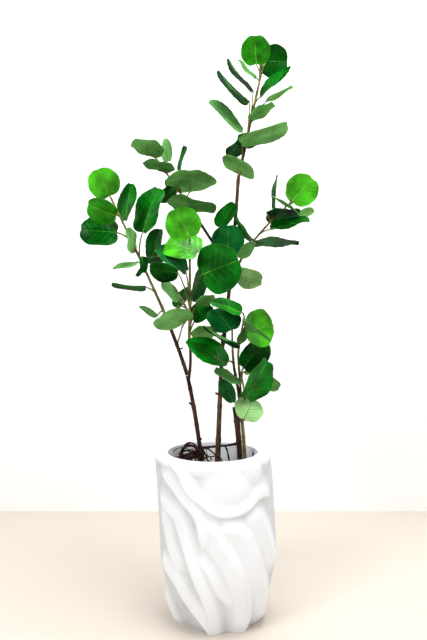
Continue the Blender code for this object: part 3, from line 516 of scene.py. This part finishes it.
# Short cut nubs left on the limbs, each as (share up the limb, heading in the picture, length, radius)
nubs = {
    "trunk_left": ((0.70, 140, 0.011, 0.0036), (0.35, 60, 0.008, 0.0032)),
    "trunk_middle": ((0.55, 160, 0.009, 0.0034),),
    "stub_right": ((0.80, 30, 0.009, 0.0036),),
    "bough_tall": ((0.42, 150, 0.010, 0.0026), (0.66, 40, 0.012, 0.0022)),
    "bough_left": ((0.45, 20, 0.010, 0.0022),),
    "bough_upper_left": ((0.55, 60, 0.012, 0.0020),),
    "stem_right": ((0.60, 130, 0.009, 0.0022),),
}
bark = {"sides": 20, "steps": 100, "ringSwell": 0.17, "ripple": 0.05, "flareFall": 10}


# A limb's bark: slow lobes round it, fine fibres, and swollen rings where leaves once grew
def barkRelief(dice, rings, ripple):
    ringAt = [(number + 0.6 + dice.uniform(-0.25, 0.25)) / rings for number in range(rings)]
    lobes = [(lobe, dice.uniform(0, math.tau), dice.uniform(-9, 9)) for lobe in (2, 3, 5, 7)]

    def relief(angle, share):
        swell = sum(math.exp(-(((share - at) * bark["steps"] / 1.6) ** 2)) for at in ringAt)
        lumps = sum(math.sin(lobe * angle + phase + twist * share) for lobe, phase, twist in lobes)
        return (1.0 + bark["ringSwell"] * swell) * (1.0 + ripple * lumps / 2)

    return relief


def buildLimb(name, limb, dice):
    work = bmesh.new()
    route, (thick, thin) = limb["route"], limb["radii"]
    shares = [step / bark["steps"] for step in range(bark["steps"] + 1)]
    flare = limb.get("flare", 0.0)
    radii = [thick + (thin - thick) * share + flare * (1 - share) ** bark["flareFall"] for share in shares]
    rings = ringsAlong([bezierPoint(route, share) for share in shares], radii)
    addTube(work, rings, bark["sides"], 0, barkRelief(dice, limb["rings"], bark["ripple"]))
    for share, heading, length, radius in nubs.get(name, ()):
        turn = math.radians(heading)
        way = Vector((math.cos(turn), -0.35, math.sin(turn))).normalized()
        foot = bezierPoint(route, share)
        reach = radii[round(share * bark["steps"])]
        points = [foot, foot + way * (reach + length * 0.6), foot + way * (reach + length)]
        addTube(work, ringsAlong(points, [radius * 1.3, radius, radius * 0.9]), 10)
    addPiece(name + "_bark", work, [limb["bark"]], limb["slot"], name)


dice = random.Random(4)
for name, limb in limbs.items():
    buildLimb(name, limb, dice)
print("bark made")


# Dry vines in the planter's mouth: each route in the frame as a thick vine with thin ones wound about it
vines = {
    "root_hump": dict(
        route=((-0.116, 0.026, 0.3953), (-0.108, 0.026, 0.532), (-0.048, 0.024, 0.484)),
        radii=(0.0058, 0.0044), company=4,
    ),
    "root_hump_low": dict(
        route=((-0.122, -0.006, 0.3953), (-0.088, -0.008, 0.542), (-0.060, -0.020, 0.3953)),
        radii=(0.0046, 0.0040), company=4,
    ),
    "root_arc": dict(
        route=((-0.046, 0.012, 0.492), (0.010, 0.085, 0.474), (0.074, 0.004, 0.506)),
        radii=(0.0034, 0.0046), company=1,
    ),
    "root_fork": dict(
        route=((0.0302, 0.0418, 0.4880), (0.044, 0.026, 0.476), (0.050, 0.006, 0.3953)),
        radii=(0.0026, 0.0022), company=1,
    ),
    "root_strand": dict(
        route=((-0.044, 0.010, 0.482), (-0.026, -0.004, 0.505), (-0.012, -0.030, 0.3953)),
        radii=(0.0026, 0.0022), company=2,
    ),
    "root_tip_right": dict(
        route=((0.108, 0.030, 0.3953), (0.110, 0.028, 0.440), (0.117, 0.020, 0.476)),
        radii=(0.0036, 0.0018), company=1,
    ),
}
vineShape = {"sides": 9, "steps": 44, "ripple": 0.13, "wander": 0.0065, "thin": 0.45}
# Thin strands that fan out from beside the left trunk to the planter's wall, all within the mouth
tangle = {
    "count": 34, "seed": 12, "from": (-0.046, 0.000, 0.484), "fromWander": 0.014, "radii": (0.0013, 0.0027),
    "reach": (0.045, 0.082), "turn": (105, 345), "level": (0.440, 0.480), "arch": (-0.006, 0.014),
}


# A tube along a route that sways in slow waves, still at its two ends
def addVine(work, route, radii, wander, dice):
    steps = vineShape["steps"]
    shares = [step / steps for step in range(steps + 1)]
    waves = [[(dice.uniform(3, 9), dice.uniform(0, math.tau)) for _ in range(2)] for _ in range(3)]
    points = []
    for share in shares:
        sway = [sum(math.sin(rate * share + phase) for rate, phase in wave) / 2 for wave in waves]
        freedom = wander * min(share, 1 - share, 0.15) / 0.15
        points.append(bezierPoint(route, share) + Vector(sway) * freedom)
    sizes = [radii[0] + (radii[1] - radii[0]) * share for share in shares]
    relief = barkRelief(dice, 4, vineShape["ripple"])
    addTube(work, ringsAlong(points, sizes), vineShape["sides"], 0, relief)


def buildVine(name, vine, dice):
    work = bmesh.new()
    route, radii, wander = vine["route"], vine["radii"], vineShape["wander"]
    addVine(work, route, [radius * 0.85 for radius in radii], wander * 0.35, dice)
    for _ in range(vine["company"]):
        size = vineShape["thin"] * dice.uniform(0.7, 1.2)
        addVine(work, route, [radius * size for radius in radii], wander, dice)
    if name == "root_hump":
        addTangle(work)
    addPiece(name + "_vine", work, ["vineRed"], "root", name)


def addTangle(work):
    dice = random.Random(tangle["seed"])
    for _ in range(tangle["count"]):
        loose = Vector([dice.uniform(-tangle["fromWander"], tangle["fromWander"]) for _ in range(3)])
        start = Vector(tangle["from"]) + loose
        turn = math.radians(dice.uniform(*tangle["turn"]))
        reach = dice.uniform(*tangle["reach"])
        level = dice.uniform(*tangle["level"])
        end = Vector((start.x + math.cos(turn) * reach, start.y + math.sin(turn) * reach, level))
        handle = start.lerp(end, dice.uniform(0.35, 0.65))
        handle.z += dice.uniform(*tangle["arch"])
        size = dice.uniform(*tangle["radii"])
        addVine(work, (start, handle, end), (size, size * 0.7), vineShape["wander"], dice)


for name, vine in vines.items():
    buildVine(name, vine, dice)
print("vines made")


# Each mass: its stem from foot to tip, and its leaves as seen from the front, each as (place on the stem,
# middle, long side, short side, slope, spin, look). The middle is right of the axis, up and back in mm,
# seen on the plane of the planter's axis. The slope is the long side's and the spin is the tip's from it.
# The edge left of the slope is the further one, or the nearer one where the short side has a minus.
masses = {
    "foliage_top": dict(
        stem=((0.0724, 0.050, 1.3150), (0.104, 0.050, 1.460), (0.147, 0.050, 1.655)),
        radii=(0.0052, 0.0034), seed=11, slot="leaf_mixed",
        stalks="stalkGreen", twigs="twigBrown",
        leaves=(
            (0.07, (72, 1338, 22), 112, -49, -32, 90, "pale"),
            (0.20, (76, 1400, 30), 98, 42, 222, 0, "dark"),
            (0.30, (97, 1414, 105), 60, 36, 170, 0, "dark"),
            (0.17, (142, 1437, -28), 150, -50, 24, 0, "pale"),
            (0.17, (33, 1485, 45), 134, -32, 141, 0, "olive"),
            (0.39, (56, 1572, 60), 133, 19, 139, 0, "dark"),
            (0.50, (75, 1606, 35), 123, 15, 133, 0, "dark"),
            (0.40, (137, 1502, 30), 87, -34, 35, 0, "pale"),
            (0.52, (190, 1557, 60), 90, -15, 32, 0, "pale"),
            (0.70, (179, 1590, -5), 124, 24, 44, 0, "dark"),
            (0.88, (96, 1627, 60), 78, -12, 138, 0, "olive"),
            (0.92, (122, 1683, 20), 90, 84, 3, 90, "fresh"),
            (1.00, (176, 1652, 95), 96, 86, 266, 90, "dark"),
        ),
    ),
    "foliage_upper_left": dict(
        stem=((-0.0566, 0.095, 1.1980), (-0.104, 0.100, 1.272), (-0.187, 0.100, 1.389)),
        radii=(0.0042, 0.0026), seed=5, slot="leaf_pale",
        stalks="stalkGreen", twigs="twigBrown",
        leaves=(
            (0.30, (-74, 1292, 70), 158, -66, 3, 90, "pale"),
            (0.20, (-71, 1221, 55), 150, -51, -8, 90, "olive"),
            (0.50, (-142, 1251, 115), 60, 42, 225, 0, "dark"),
            (0.45, (-99, 1358, 120), 78, 14, 80, 0, "dark"),
            (0.78, (-167, 1341, 70), 99, -38, -10, 90, "olive"),
            (0.90, (-147, 1384, 140), 68, -33, 100, 0, "pale"),
            (1.00, (-202, 1393, 65), 100, -51, -12, 90, "pale"),
        ),
    ),
    "foliage_left": dict(
        stem=((-0.1460, -0.010, 0.8850), (-0.205, -0.020, 1.024), (-0.307, -0.030, 1.236)),
        radii=(0.0046, 0.0028), seed=23, slot="leaf_bright",
        stalks="stalkGreen", twigs="twigBrown",
        leaves=(
            (0.07, (-200, 899, -15), 63, -18, 159, 0, "olive"),
            (0.25, (-257, 976, -25), 104, 18, 178, 0, "dark"),
            (0.47, (-266, 1037, -35), 81, -15, 202, 0, "olive"),
            (0.50, (-215, 1042, -100), 48, 27, 280, 0, "dark"),
            (0.52, (-222, 1023, -10), 42, 15, 229, 0, "dark"),
            (0.50, (-181, 1102, 40), 96, 48, 78, 0, "dark"),
            (0.50, (-183, 1057, -35), 81, -22, 355, 0, "dark"),
            (0.62, (-254, 1113, -45), 78, -30, 100, 0, "pale"),
            (0.55, (-200, 1204, -30), 144, 72, 76, 0, "mid"),
            (0.83, (-262, 1228, -10), 114, 46, 83, 0, "mid"),
            (0.68, (-345, 1144, -25), 112, -96, 175, 0, "dark"),
            (0.88, (-338, 1202, -55), 92, 75, 165, 0, "fresh"),
            (1.00, (-333, 1286, -40), 96, 90, 25, 90, "bright"),
        ),
    ),
    "foliage_inner": dict(
        stem=((-0.1130, 0.000, 0.8060), (-0.104, -0.004, 0.830), (-0.097, -0.010, 0.860)),
        radii=(0.0026, 0.0020), seed=8, slot="leaf_pale",
        stalks="stalkGreen", twigs="twigGreen",
        leaves=(
            (0.90, (-125, 880, -72), 119, -57, 13, 130, "pale"),
        ),
    ),
    "foliage_centre_left": dict(
        stem=((-0.0764, -0.018, 0.8107), (-0.074, -0.030, 0.935), (-0.074, -0.035, 1.082)),
        radii=(0.0046, 0.0030), seed=31, slot="leaf_dark",
        stalks="stalkGreen", twigs="twigGreen",
        leaves=(
            (0.45, (-127, 1056, -95), 114, -50, 139, 0, "deep"),
            (0.40, (-152, 1022, -65), 88, 58, 175, 0, "dark"),
            (0.30, (-133, 960, 5), 75, -33, 135, 0, "pale"),
            (0.34, (-100, 942, 55), 72, 36, 60, 0, "dark"),
            (0.30, (-50, 980, 0), 108, -44, 67, 0, "dark"),
            (0.20, (-30, 936, -55), 60, -30, 25, 0, "pale"),
            (0.15, (-42, 900, -30), 72, 57, 40, 0, "dark"),
            (0.50, (11, 1032, -110), 152, -117, -69, 90, "mid"),
            (1.00, (-96, 1164, -105), 108, 101, 26, 90, "bright"),
            (0.94, (-96, 1098, -88), 117, 81, 0, 150, "bright"),
            (0.10, (-33, 841, -25), 81, -42, 15, 0, "pale"),
        ),
    ),
    "foliage_centre": dict(
        stem=((0.0480, 0.046, 0.9700), (0.034, 0.016, 1.050), (0.039, 0.010, 1.133)),
        radii=(0.0034, 0.0024), seed=17, slot="leaf_dark",
        stalks="stalkGreen", twigs="twigBrown",
        leaves=(
            (0.60, (39, 1113, -35), 100, 94, 0, 90, "deep"),
            (1.00, (33, 1190, 25), 87, 48, 60, 0, "dark"),
            (0.25, (101, 1003, 20), 82, -62, 350, 0, "light"),
        ),
    ),
    "foliage_right": dict(
        stem=((0.0796, 0.035, 1.0600), (0.119, 0.032, 1.133), (0.220, 0.030, 1.224)),
        radii=(0.0038, 0.0024), seed=41, slot="leaf_dark",
        stalks="stalkGreen", twigs="twigBrown",
        leaves=(
            (1.00, (261, 1266, -20), 99, 93, -44, 90, "bright"),
            (0.78, (181, 1259, 75), 100, 10, 88, 0, "dark"),
            (0.97, (215, 1224, -78), 105, -12, -34, 90, "pale"),
            (0.72, (202, 1190, 30), 102, -48, 356, 0, "deep"),
            (0.95, (266, 1198, 62), 60, -27, 22, 0, "pale"),
            (0.50, (222, 1165, -22), 120, 28, 16, 0, "dark"),
            (0.33, (183, 1109, 5), 134, 28, 5, 0, "dark"),
            (0.37, (86, 1146, -20), 86, 19, 129, 0, "mid"),
            (0.10, (93, 1086, -50), 66, -33, 45, 0, "olive"),
        ),
    ),
    "foliage_low_centre": dict(
        stem=((0.0560, -0.030, 0.7340), (0.050, -0.040, 0.790), (0.050, -0.050, 0.844)),
        radii=(0.0038, 0.0024), seed=53, slot="leaf_dark",
        stalks="stalkGreen", twigs="twigGreen",
        leaves=(
            (0.98, (26, 879, -100), 100, -80, 160, -42, "deep"),
            (0.10, (-20, 783, -100), 143, -64, 147, 0, "mid"),
        ),
    ),
    "foliage_low_right": dict(
        stem=((0.0674, -0.040, 0.7700), (0.071, -0.046, 0.823), (0.085, -0.052, 0.879)),
        radii=(0.0034, 0.0024), seed=61, slot="leaf_bright",
        stalks="stalkGreen", twigs="twigGreen",
        leaves=(
            (1.00, (36, 918, -115), 99, -38, 154, 0, "mid"),
            (0.92, (124, 848, -183), 104, -12, 327, 0, "olive"),
            (0.88, (135, 852, -92), 116, -88, 100, -90, "bright"),
            (0.42, (84, 835, -45), 66, -24, 70, 0, "olive"),
            (0.32, (20, 823, -125), 126, 12, 159, 0, "dark"),
        ),
    ),
    "foliage_foot": dict(
        stem=((0.0810, -0.031, 0.5700), (0.095, -0.058, 0.648), (0.074, -0.056, 0.722)),
        radii=(0.0030, 0.0022), seed=71, slot="leaf_dark",
        stalks="stalkGreen", twigs="twigGreen",
        leaves=(
            (0.10, (100, 606, -75), 89, 62, -25, 90, "light"),
            (0.30, (39, 663, -70), 78, 42, 115, 0, "deep"),
            (0.45, (128, 694, -90), 133, -72, 56, 0, "mid"),
            (0.95, (119, 771, -60), 110, -80, 47, 0, "dark"),
            (0.60, (159, 694, 12), 78, -45, 335, 0, "olive"),
            (0.90, (114, 730, 15), 60, -18, 27, 0, "pale"),
            (0.86, (41, 705, -85), 93, -27, 158, 0, "olive"),
        ),
    ),
}
leafShape = {
    "eye": (-0.0045, -1.8, 0.876), "width": 1.12, "span": 1.03, "middle": 0.48, "reach": 0.56,
    "tipNotch": (0.085, 0.24), "baseNotch": (0.16, 0.34), "fold": 0.07, "thickness": 0.0010, "cells": 24,
    "pairs": 5, "quilt": 0.011, "ribRadius": 0.0013, "veinRadius": 0.00068, "stalkRadius": 0.0022,
    "broad": 0.6, "hidden": {
        "behind": (50, 95), "wander": 8, "climb": 0.12, "size": (0.85, 0.98), "narrow": (0.5, 0.9),
        "slope": 30,
    },
    "backs": ("light", "pale", "olive"),
    # The unseen side's colour and the vein and rib colours for each look: like the looks, they are lighter
    # and darker copies, partly painted light and shade, with darker veins on the darker faces
    "otherSide": {
        "bright": "soft", "fresh": "soft", "mid": "soft", "dark": "soft", "deep": "soft",
        "light": "mid", "pale": "mid", "olive": "dark",
    },
    "veins": {
        "bright": "veinBright", "fresh": "veinBright", "mid": "veinBright", "dark": "veinDark",
        "deep": "veinDark",
    },
    "ribs": {"bright": "rib", "fresh": "rib", "mid": "rib", "dark": "veinBright", "deep": "veinBright"},
    # How far each leaf's edges, tip and diagonal bend, as (least, most), where its face or its back shows
    "dish": {"face": (-0.06, 0.20), "back": (-0.34, -0.12)}, "curl": (0.03, 0.13), "twist": (-0.15, 0.15),
    "ripple": (0.018, 0.040),
}
leafNames = faceNames + backNames


# A leaf from how it looks: its sides, against a round blade's, give how far it tilts from the eye
def leafSeen(stem, seen):
    place, (right, height, depth), longSide, shortSide, slope, spin, look = seen
    shape, eye = leafShape, Vector(leafShape["eye"])
    nearer = (depth / 1000 - eye.y) / -eye.y
    middle = eye + (Vector((right / 1000, 0.0, height / 1000)) - eye) * nearer
    view = (eye - middle).normalized()
    rightward = Vector((0.0, 0.0, 1.0)).cross(view).normalized()
    slope, spin = math.radians(slope), math.radians(spin)
    longWay = rightward * math.cos(slope) + view.cross(rightward) * math.sin(slope)
    longShare = math.hypot(shape["span"] * math.cos(spin), shape["width"] * math.sin(spin))
    length = longSide / 1000 * nearer / longShare
    flat = length * math.hypot(shape["span"] * math.sin(spin), shape["width"] * math.cos(spin))
    tilt = math.copysign(math.acos(min(abs(shortSide) / 1000 * nearer / flat, 1.0)), shortSide)
    shown = view * math.cos(tilt) + view.cross(longWay) * math.sin(tilt)
    along = longWay * math.cos(spin) + shown.cross(longWay) * math.sin(spin)
    up = -shown if look in shape["backs"] else shown  # pale and olive leaves show their backs
    base = middle - along * (shape["middle"] * length)
    return dict(place=place, start=bezierPoint(stem, place), base=base, middle=middle, along=along, up=up,
                length=length, look=look)


# The leaves seen from the front, then one smaller leaf behind each broad one
def leafPlan(mass):
    stem, hidden = mass["stem"], leafShape["hidden"]
    plan = [leafSeen(stem, seen) for seen in mass["leaves"]]
    dice = random.Random(mass["seed"])
    behind, wander, climb = hidden["behind"], hidden["wander"], hidden["climb"]
    for place, (right, height, depth), longSide, shortSide, slope, spin, look in mass["leaves"]:
        if abs(shortSide) < leafShape["broad"] * longSide:
            continue
        stemDepth = bezierPoint(stem, place).y * 1000
        further = max(stemDepth + behind[len(plan) % 2], depth + behind[0]) + dice.uniform(-wander, wander)
        middle = (right + dice.uniform(-wander, wander), height + dice.uniform(-wander, wander), further)
        size = abs(shortSide) * dice.uniform(*hidden["size"])
        place = min(max(place + dice.uniform(-climb, climb), 0.1), 1.0)
        hiddenSide = -size * dice.uniform(*hidden["narrow"])
        slope = dice.uniform(-hidden["slope"], hidden["slope"])
        plan.append(leafSeen(stem, (place, middle, size, hiddenSide, slope, 90, "pale")))
    return plan


# How one leaf bends: edges up or down, tip down, diagonal twist, and waves round its edge
def leafForm(look, dice):
    shape = leafShape
    return {
        "dish": dice.uniform(*shape["dish"]["back" if look in shape["backs"] else "face"]),
        "curl": dice.uniform(*shape["curl"]), "twist": dice.uniform(*shape["twist"]),
        "ripple": dice.uniform(*shape["ripple"]), "waves": dice.choice((3, 4, 5)),
        "phases": [dice.uniform(0, math.tau) for _ in range(3)],
    }


# The blade's edge at an angle from its tip, in shares of its length
def leafEdge(angle, form):
    _, slow, quick = form["phases"]
    reach = 1.0 + 0.014 * math.sin(3 * angle + slow) + 0.010 * math.sin(8 * angle + quick)
    notches = ((leafShape["tipNotch"], angle), (leafShape["baseNotch"], math.pi - abs(angle)))
    for (depth, width), away in notches:
        reach -= depth * math.exp(-((away / width) ** 2))
    return leafShape["width"] / 2 * math.sin(angle) * reach, leafShape["reach"] * math.cos(angle) * reach


# How far the blade rises: folded up along the rib, bent, wavy at its edge, and cushioned between the veins
def leafHeight(across, along, form):
    beyond = along - leafShape["middle"]
    flat = leafShape["fold"] * abs(across) - form["curl"] * along * along + form["dish"] * across * across
    edge = math.hypot(across, beyond) / leafShape["reach"]
    wave = math.sin(form["waves"] * math.atan2(across, beyond) + form["phases"][0])
    slant = (along - 0.50 * abs(across)) * leafShape["pairs"] * 1.2
    quilt = leafShape["quilt"] * abs(math.sin(math.pi * slant)) * min(abs(across) * 6.0, 1.0)
    return flat + form["twist"] * across * beyond + form["ripple"] * edge ** 3 * wave + quilt


def addBlade(work, leaf, form):
    length, look = leaf["length"], leaf["look"]
    other = leafShape["otherSide"][look]
    faceLook, backLook = (other, look) if look in leafShape["backs"] else (look, other)
    side = leaf["along"].cross(leaf["up"])
    turn = Matrix((side, leaf["along"], leaf["up"])).transposed().to_4x4()
    blade = bmesh.new()
    cells = leafShape["cells"]
    bmesh.ops.create_grid(blade, x_segments=cells, y_segments=cells, size=1.0)
    for vert in blade.verts:
        roundX = vert.co.x * math.sqrt(1 - vert.co.y ** 2 / 2)
        roundY = vert.co.y * math.sqrt(1 - vert.co.x ** 2 / 2)
        reach = math.hypot(roundX, roundY)
        across, along = leafEdge(math.atan2(roundX, roundY), form)
        across, along = across * reach, leafShape["middle"] + along * reach
        vert.co = Vector((across, along, leafHeight(across, along, form))) * length
    bmesh.ops.solidify(blade, geom=blade.faces[:], thickness=leafShape["thickness"])
    bmesh.ops.recalc_face_normals(blade, faces=blade.faces)
    for face in blade.faces:
        face.material_index = leafNames.index(faceLook if face.normal.z > 0.25 else backLook)
    ribs, veins = leafShape["ribs"][faceLook], leafShape["veins"][faceLook]
    addVeins(blade, length, form, 1, leafNames.index(ribs), leafNames.index(veins))
    addVeins(blade, length, form, -1, leafNames.index("veinBack"), leafNames.index("veinBack"))
    blade.transform(Matrix.Translation(leaf["base"]) @ turn)
    join(work, blade)


# A midrib and pairs of side veins that curve to the tip, as low ridges on one side of the blade
def addVeins(blade, length, form, way, ribLook, veinLook):
    lift = 0.0 if way > 0 else -leafShape["thickness"]
    lines = [(leafShape["ribRadius"], ribLook, [(0.0, 0.005 + 0.93 * step / 10) for step in range(11)])]
    pairs = leafShape["pairs"]
    for pair in range(pairs):
        root = 0.05 + 0.78 * pair / pairs
        reach = 0.44 * math.sin(math.pi * (0.36 + 0.56 * pair / pairs))
        for side in (-1, 1):
            root += 0.02 * side * math.sin(form["phases"][1] + pair)
            points = [(side * reach * step / 5, root + reach * (0.42 * step / 5 + 0.26 * (step / 5) ** 2))
                      for step in range(6)]
            lines.append((leafShape["veinRadius"], veinLook, points))
    for radius, look, points in lines:
        rings = []
        for number, (across, along) in enumerate(points):
            size = radius * (1.0 - 0.7 * number / (len(points) - 1))
            before, after = points[max(number - 1, 0)], points[min(number + 1, len(points) - 1)]
            slope = Vector((after[0] - before[0], after[1] - before[1], 0.0)).normalized()
            centre = Vector((across, along, leafHeight(across, along, form))) * length
            sideways = Vector((slope.y, -slope.x, 0.0)) * size
            centre.z += lift
            rings.append((centre, sideways * way, Vector((0.0, 0.0, size * 0.4 * way))))
        addTube(blade, rings, 4, look)


# A stalk leaves the stem along it, bends out to the leaf and runs on a little under the blade
def addStalk(work, stem, leaf, look):
    start, base = leaf["start"], leaf["base"]
    apart = (base - start).length
    handle = start.lerp(base, 0.45) + bezierSlope(stem, leaf["place"]) * (apart * 0.22)
    under = base + leaf["along"] * leaf["length"] * 0.09 - leaf["up"] * 0.0008
    points = [bezierPoint((start, handle, base), step / 8) for step in range(9)] + [under]
    thick = leafShape["stalkRadius"]
    radii = [thick * (1.25 - 0.05 * step) for step in range(9)] + [thick * 0.5]
    addTube(work, ringsAlong(points, radii), 7, look)


def buildMass(name, mass):
    dice = random.Random(mass["seed"] + 1000)
    solid = bpy.data.objects[name]
    leaves, stalks, twig = bmesh.new(), bmesh.new(), bmesh.new()
    steps = 48
    shares = [step / steps for step in range(steps + 1)]
    thick, thin = mass["radii"]
    rings = ringsAlong([bezierPoint(mass["stem"], share) for share in shares],
                       [thick + (thin - thick) * share for share in shares])
    addTube(twig, rings, 12, 0, barkRelief(dice, 6, 0.05))
    for leaf in leafPlan(mass):
        form = leafForm(leaf["look"], dice)
        found, spot, *_ = solid.closest_point_on_mesh(leaf["middle"])
        if not found or (spot - leaf["middle"]).length > 0.005:  # the solid skips a leaf that would touch
            continue
        addBlade(leaves, leaf, form)
        addStalk(stalks, mass["stem"], leaf, 0)
    addPiece(name + "_leaves", leaves, leafNames, mass["slot"], name)
    addPiece(name + "_stalks", stalks, [mass["stalks"]], mass["slot"])
    addPiece(name + "_twigs", twig, [mass["twigs"]], mass["slot"])


for name, mass in masses.items():
    buildMass(name, mass)
for tube in straightTubes.values():
    bpy.data.meshes.remove(tube)
print("leaves made")


# Camera at the photograph's angle, level, and a soft white studio
cameraLook = {"place": (-0.0045, -1.8, 0.876), "lens": 33.75, "sensor": 36.0}
camera = bpy.data.objects.new("camera", bpy.data.cameras.new("camera"))
camera.data.lens = cameraLook["lens"]
camera.data.sensor_width = cameraLook["sensor"]
camera.location = cameraLook["place"]
camera.rotation_euler = (math.radians(90), 0.0, 0.0)
bpy.context.scene.collection.objects.link(camera)
bpy.context.scene.camera = camera

studio = {
    "floor": (0.630, 0.565, 0.490), "wall": (0.900, 0.900, 0.900), "wallDistance": 0.95,
    "floorWidth": 12.0, "wallHeight": 6.0, "worldColour": (0.95, 0.975, 1.0), "worldStrength": 0.36,
    "lamps": {  # place, where it points, size and power
        "keyLamp": ((-2.0, -2.2, 2.6), (0.0, 0.0, 0.8), 1.2, 66.0),
        "fillLamp": ((2.4, -2.2, 1.7), (0.0, 0.0, 0.8), 2.0, 28.0),
        "topLamp": ((0.1, -0.3, 3.3), (0.0, 0.0, 0.8), 1.6, 26.0),
        "wallLamp": ((0.5, -0.4, 3.2), (0.4, 0.95, 0.8), 2.0, 70.0),
    },
}


def addSheet(name, corners, look):
    work = bmesh.new()
    bmesh.ops.create_grid(work, x_segments=2, y_segments=2, size=1.0)
    low, high = (Vector(corner) for corner in corners)
    for vert in work.verts:
        across, up = (vert.co.x + 1) / 2, (vert.co.y + 1) / 2
        vert.co = Vector((low.x + (high.x - low.x) * across, low.y + (high.y - low.y) * up,
                          low.z + (high.z - low.z) * up))
    mesh = bpy.data.meshes.new(name)
    work.to_mesh(mesh)
    work.free()
    mesh.materials.append(look.material)
    sheet = bpy.data.objects.new(name, mesh)
    bpy.context.scene.collection.objects.link(sheet)


def addStudio():
    half, back = studio["floorWidth"] / 2, studio["wallDistance"]
    floorLook = Finish("floorLook", studio["floor"], 0.6)
    addSheet("floor", ((-half, -half, 0.0), (half, half, 0.0)), floorLook)
    wallLook = Finish("wallLook", studio["wall"], 0.8)
    behind = wallLook.node("ShaderNodeNewGeometry", output="Backfacing")
    wallLook.drive("Alpha", behind * -1.0 + 1.0)  # clear from behind, so the plant shows from the back too
    addSheet("wall", ((-half, back, 0.0), (half, back, studio["wallHeight"])), wallLook)
    for name, (place, target, size, power) in studio["lamps"].items():
        lamp = bpy.data.lights.new(name, "AREA")
        lamp.shape = "DISK"
        lamp.size = size
        lamp.energy = power
        lit = bpy.data.objects.new(name, lamp)
        lit.location = place
        lit.rotation_euler = (Vector(target) - Vector(place)).to_track_quat("-Z", "Y").to_euler()
        bpy.context.scene.collection.objects.link(lit)
    world = bpy.data.worlds.new("studio")
    world.use_nodes = True
    backdrop = world.node_tree.nodes["Background"]
    backdrop.inputs["Color"].default_value = (*studio["worldColour"], 1.0)
    backdrop.inputs["Strength"].default_value = studio["worldStrength"]
    bpy.context.scene.world = world
    bpy.context.scene.view_settings.view_transform = "Standard"


addStudio()
print("studio made")
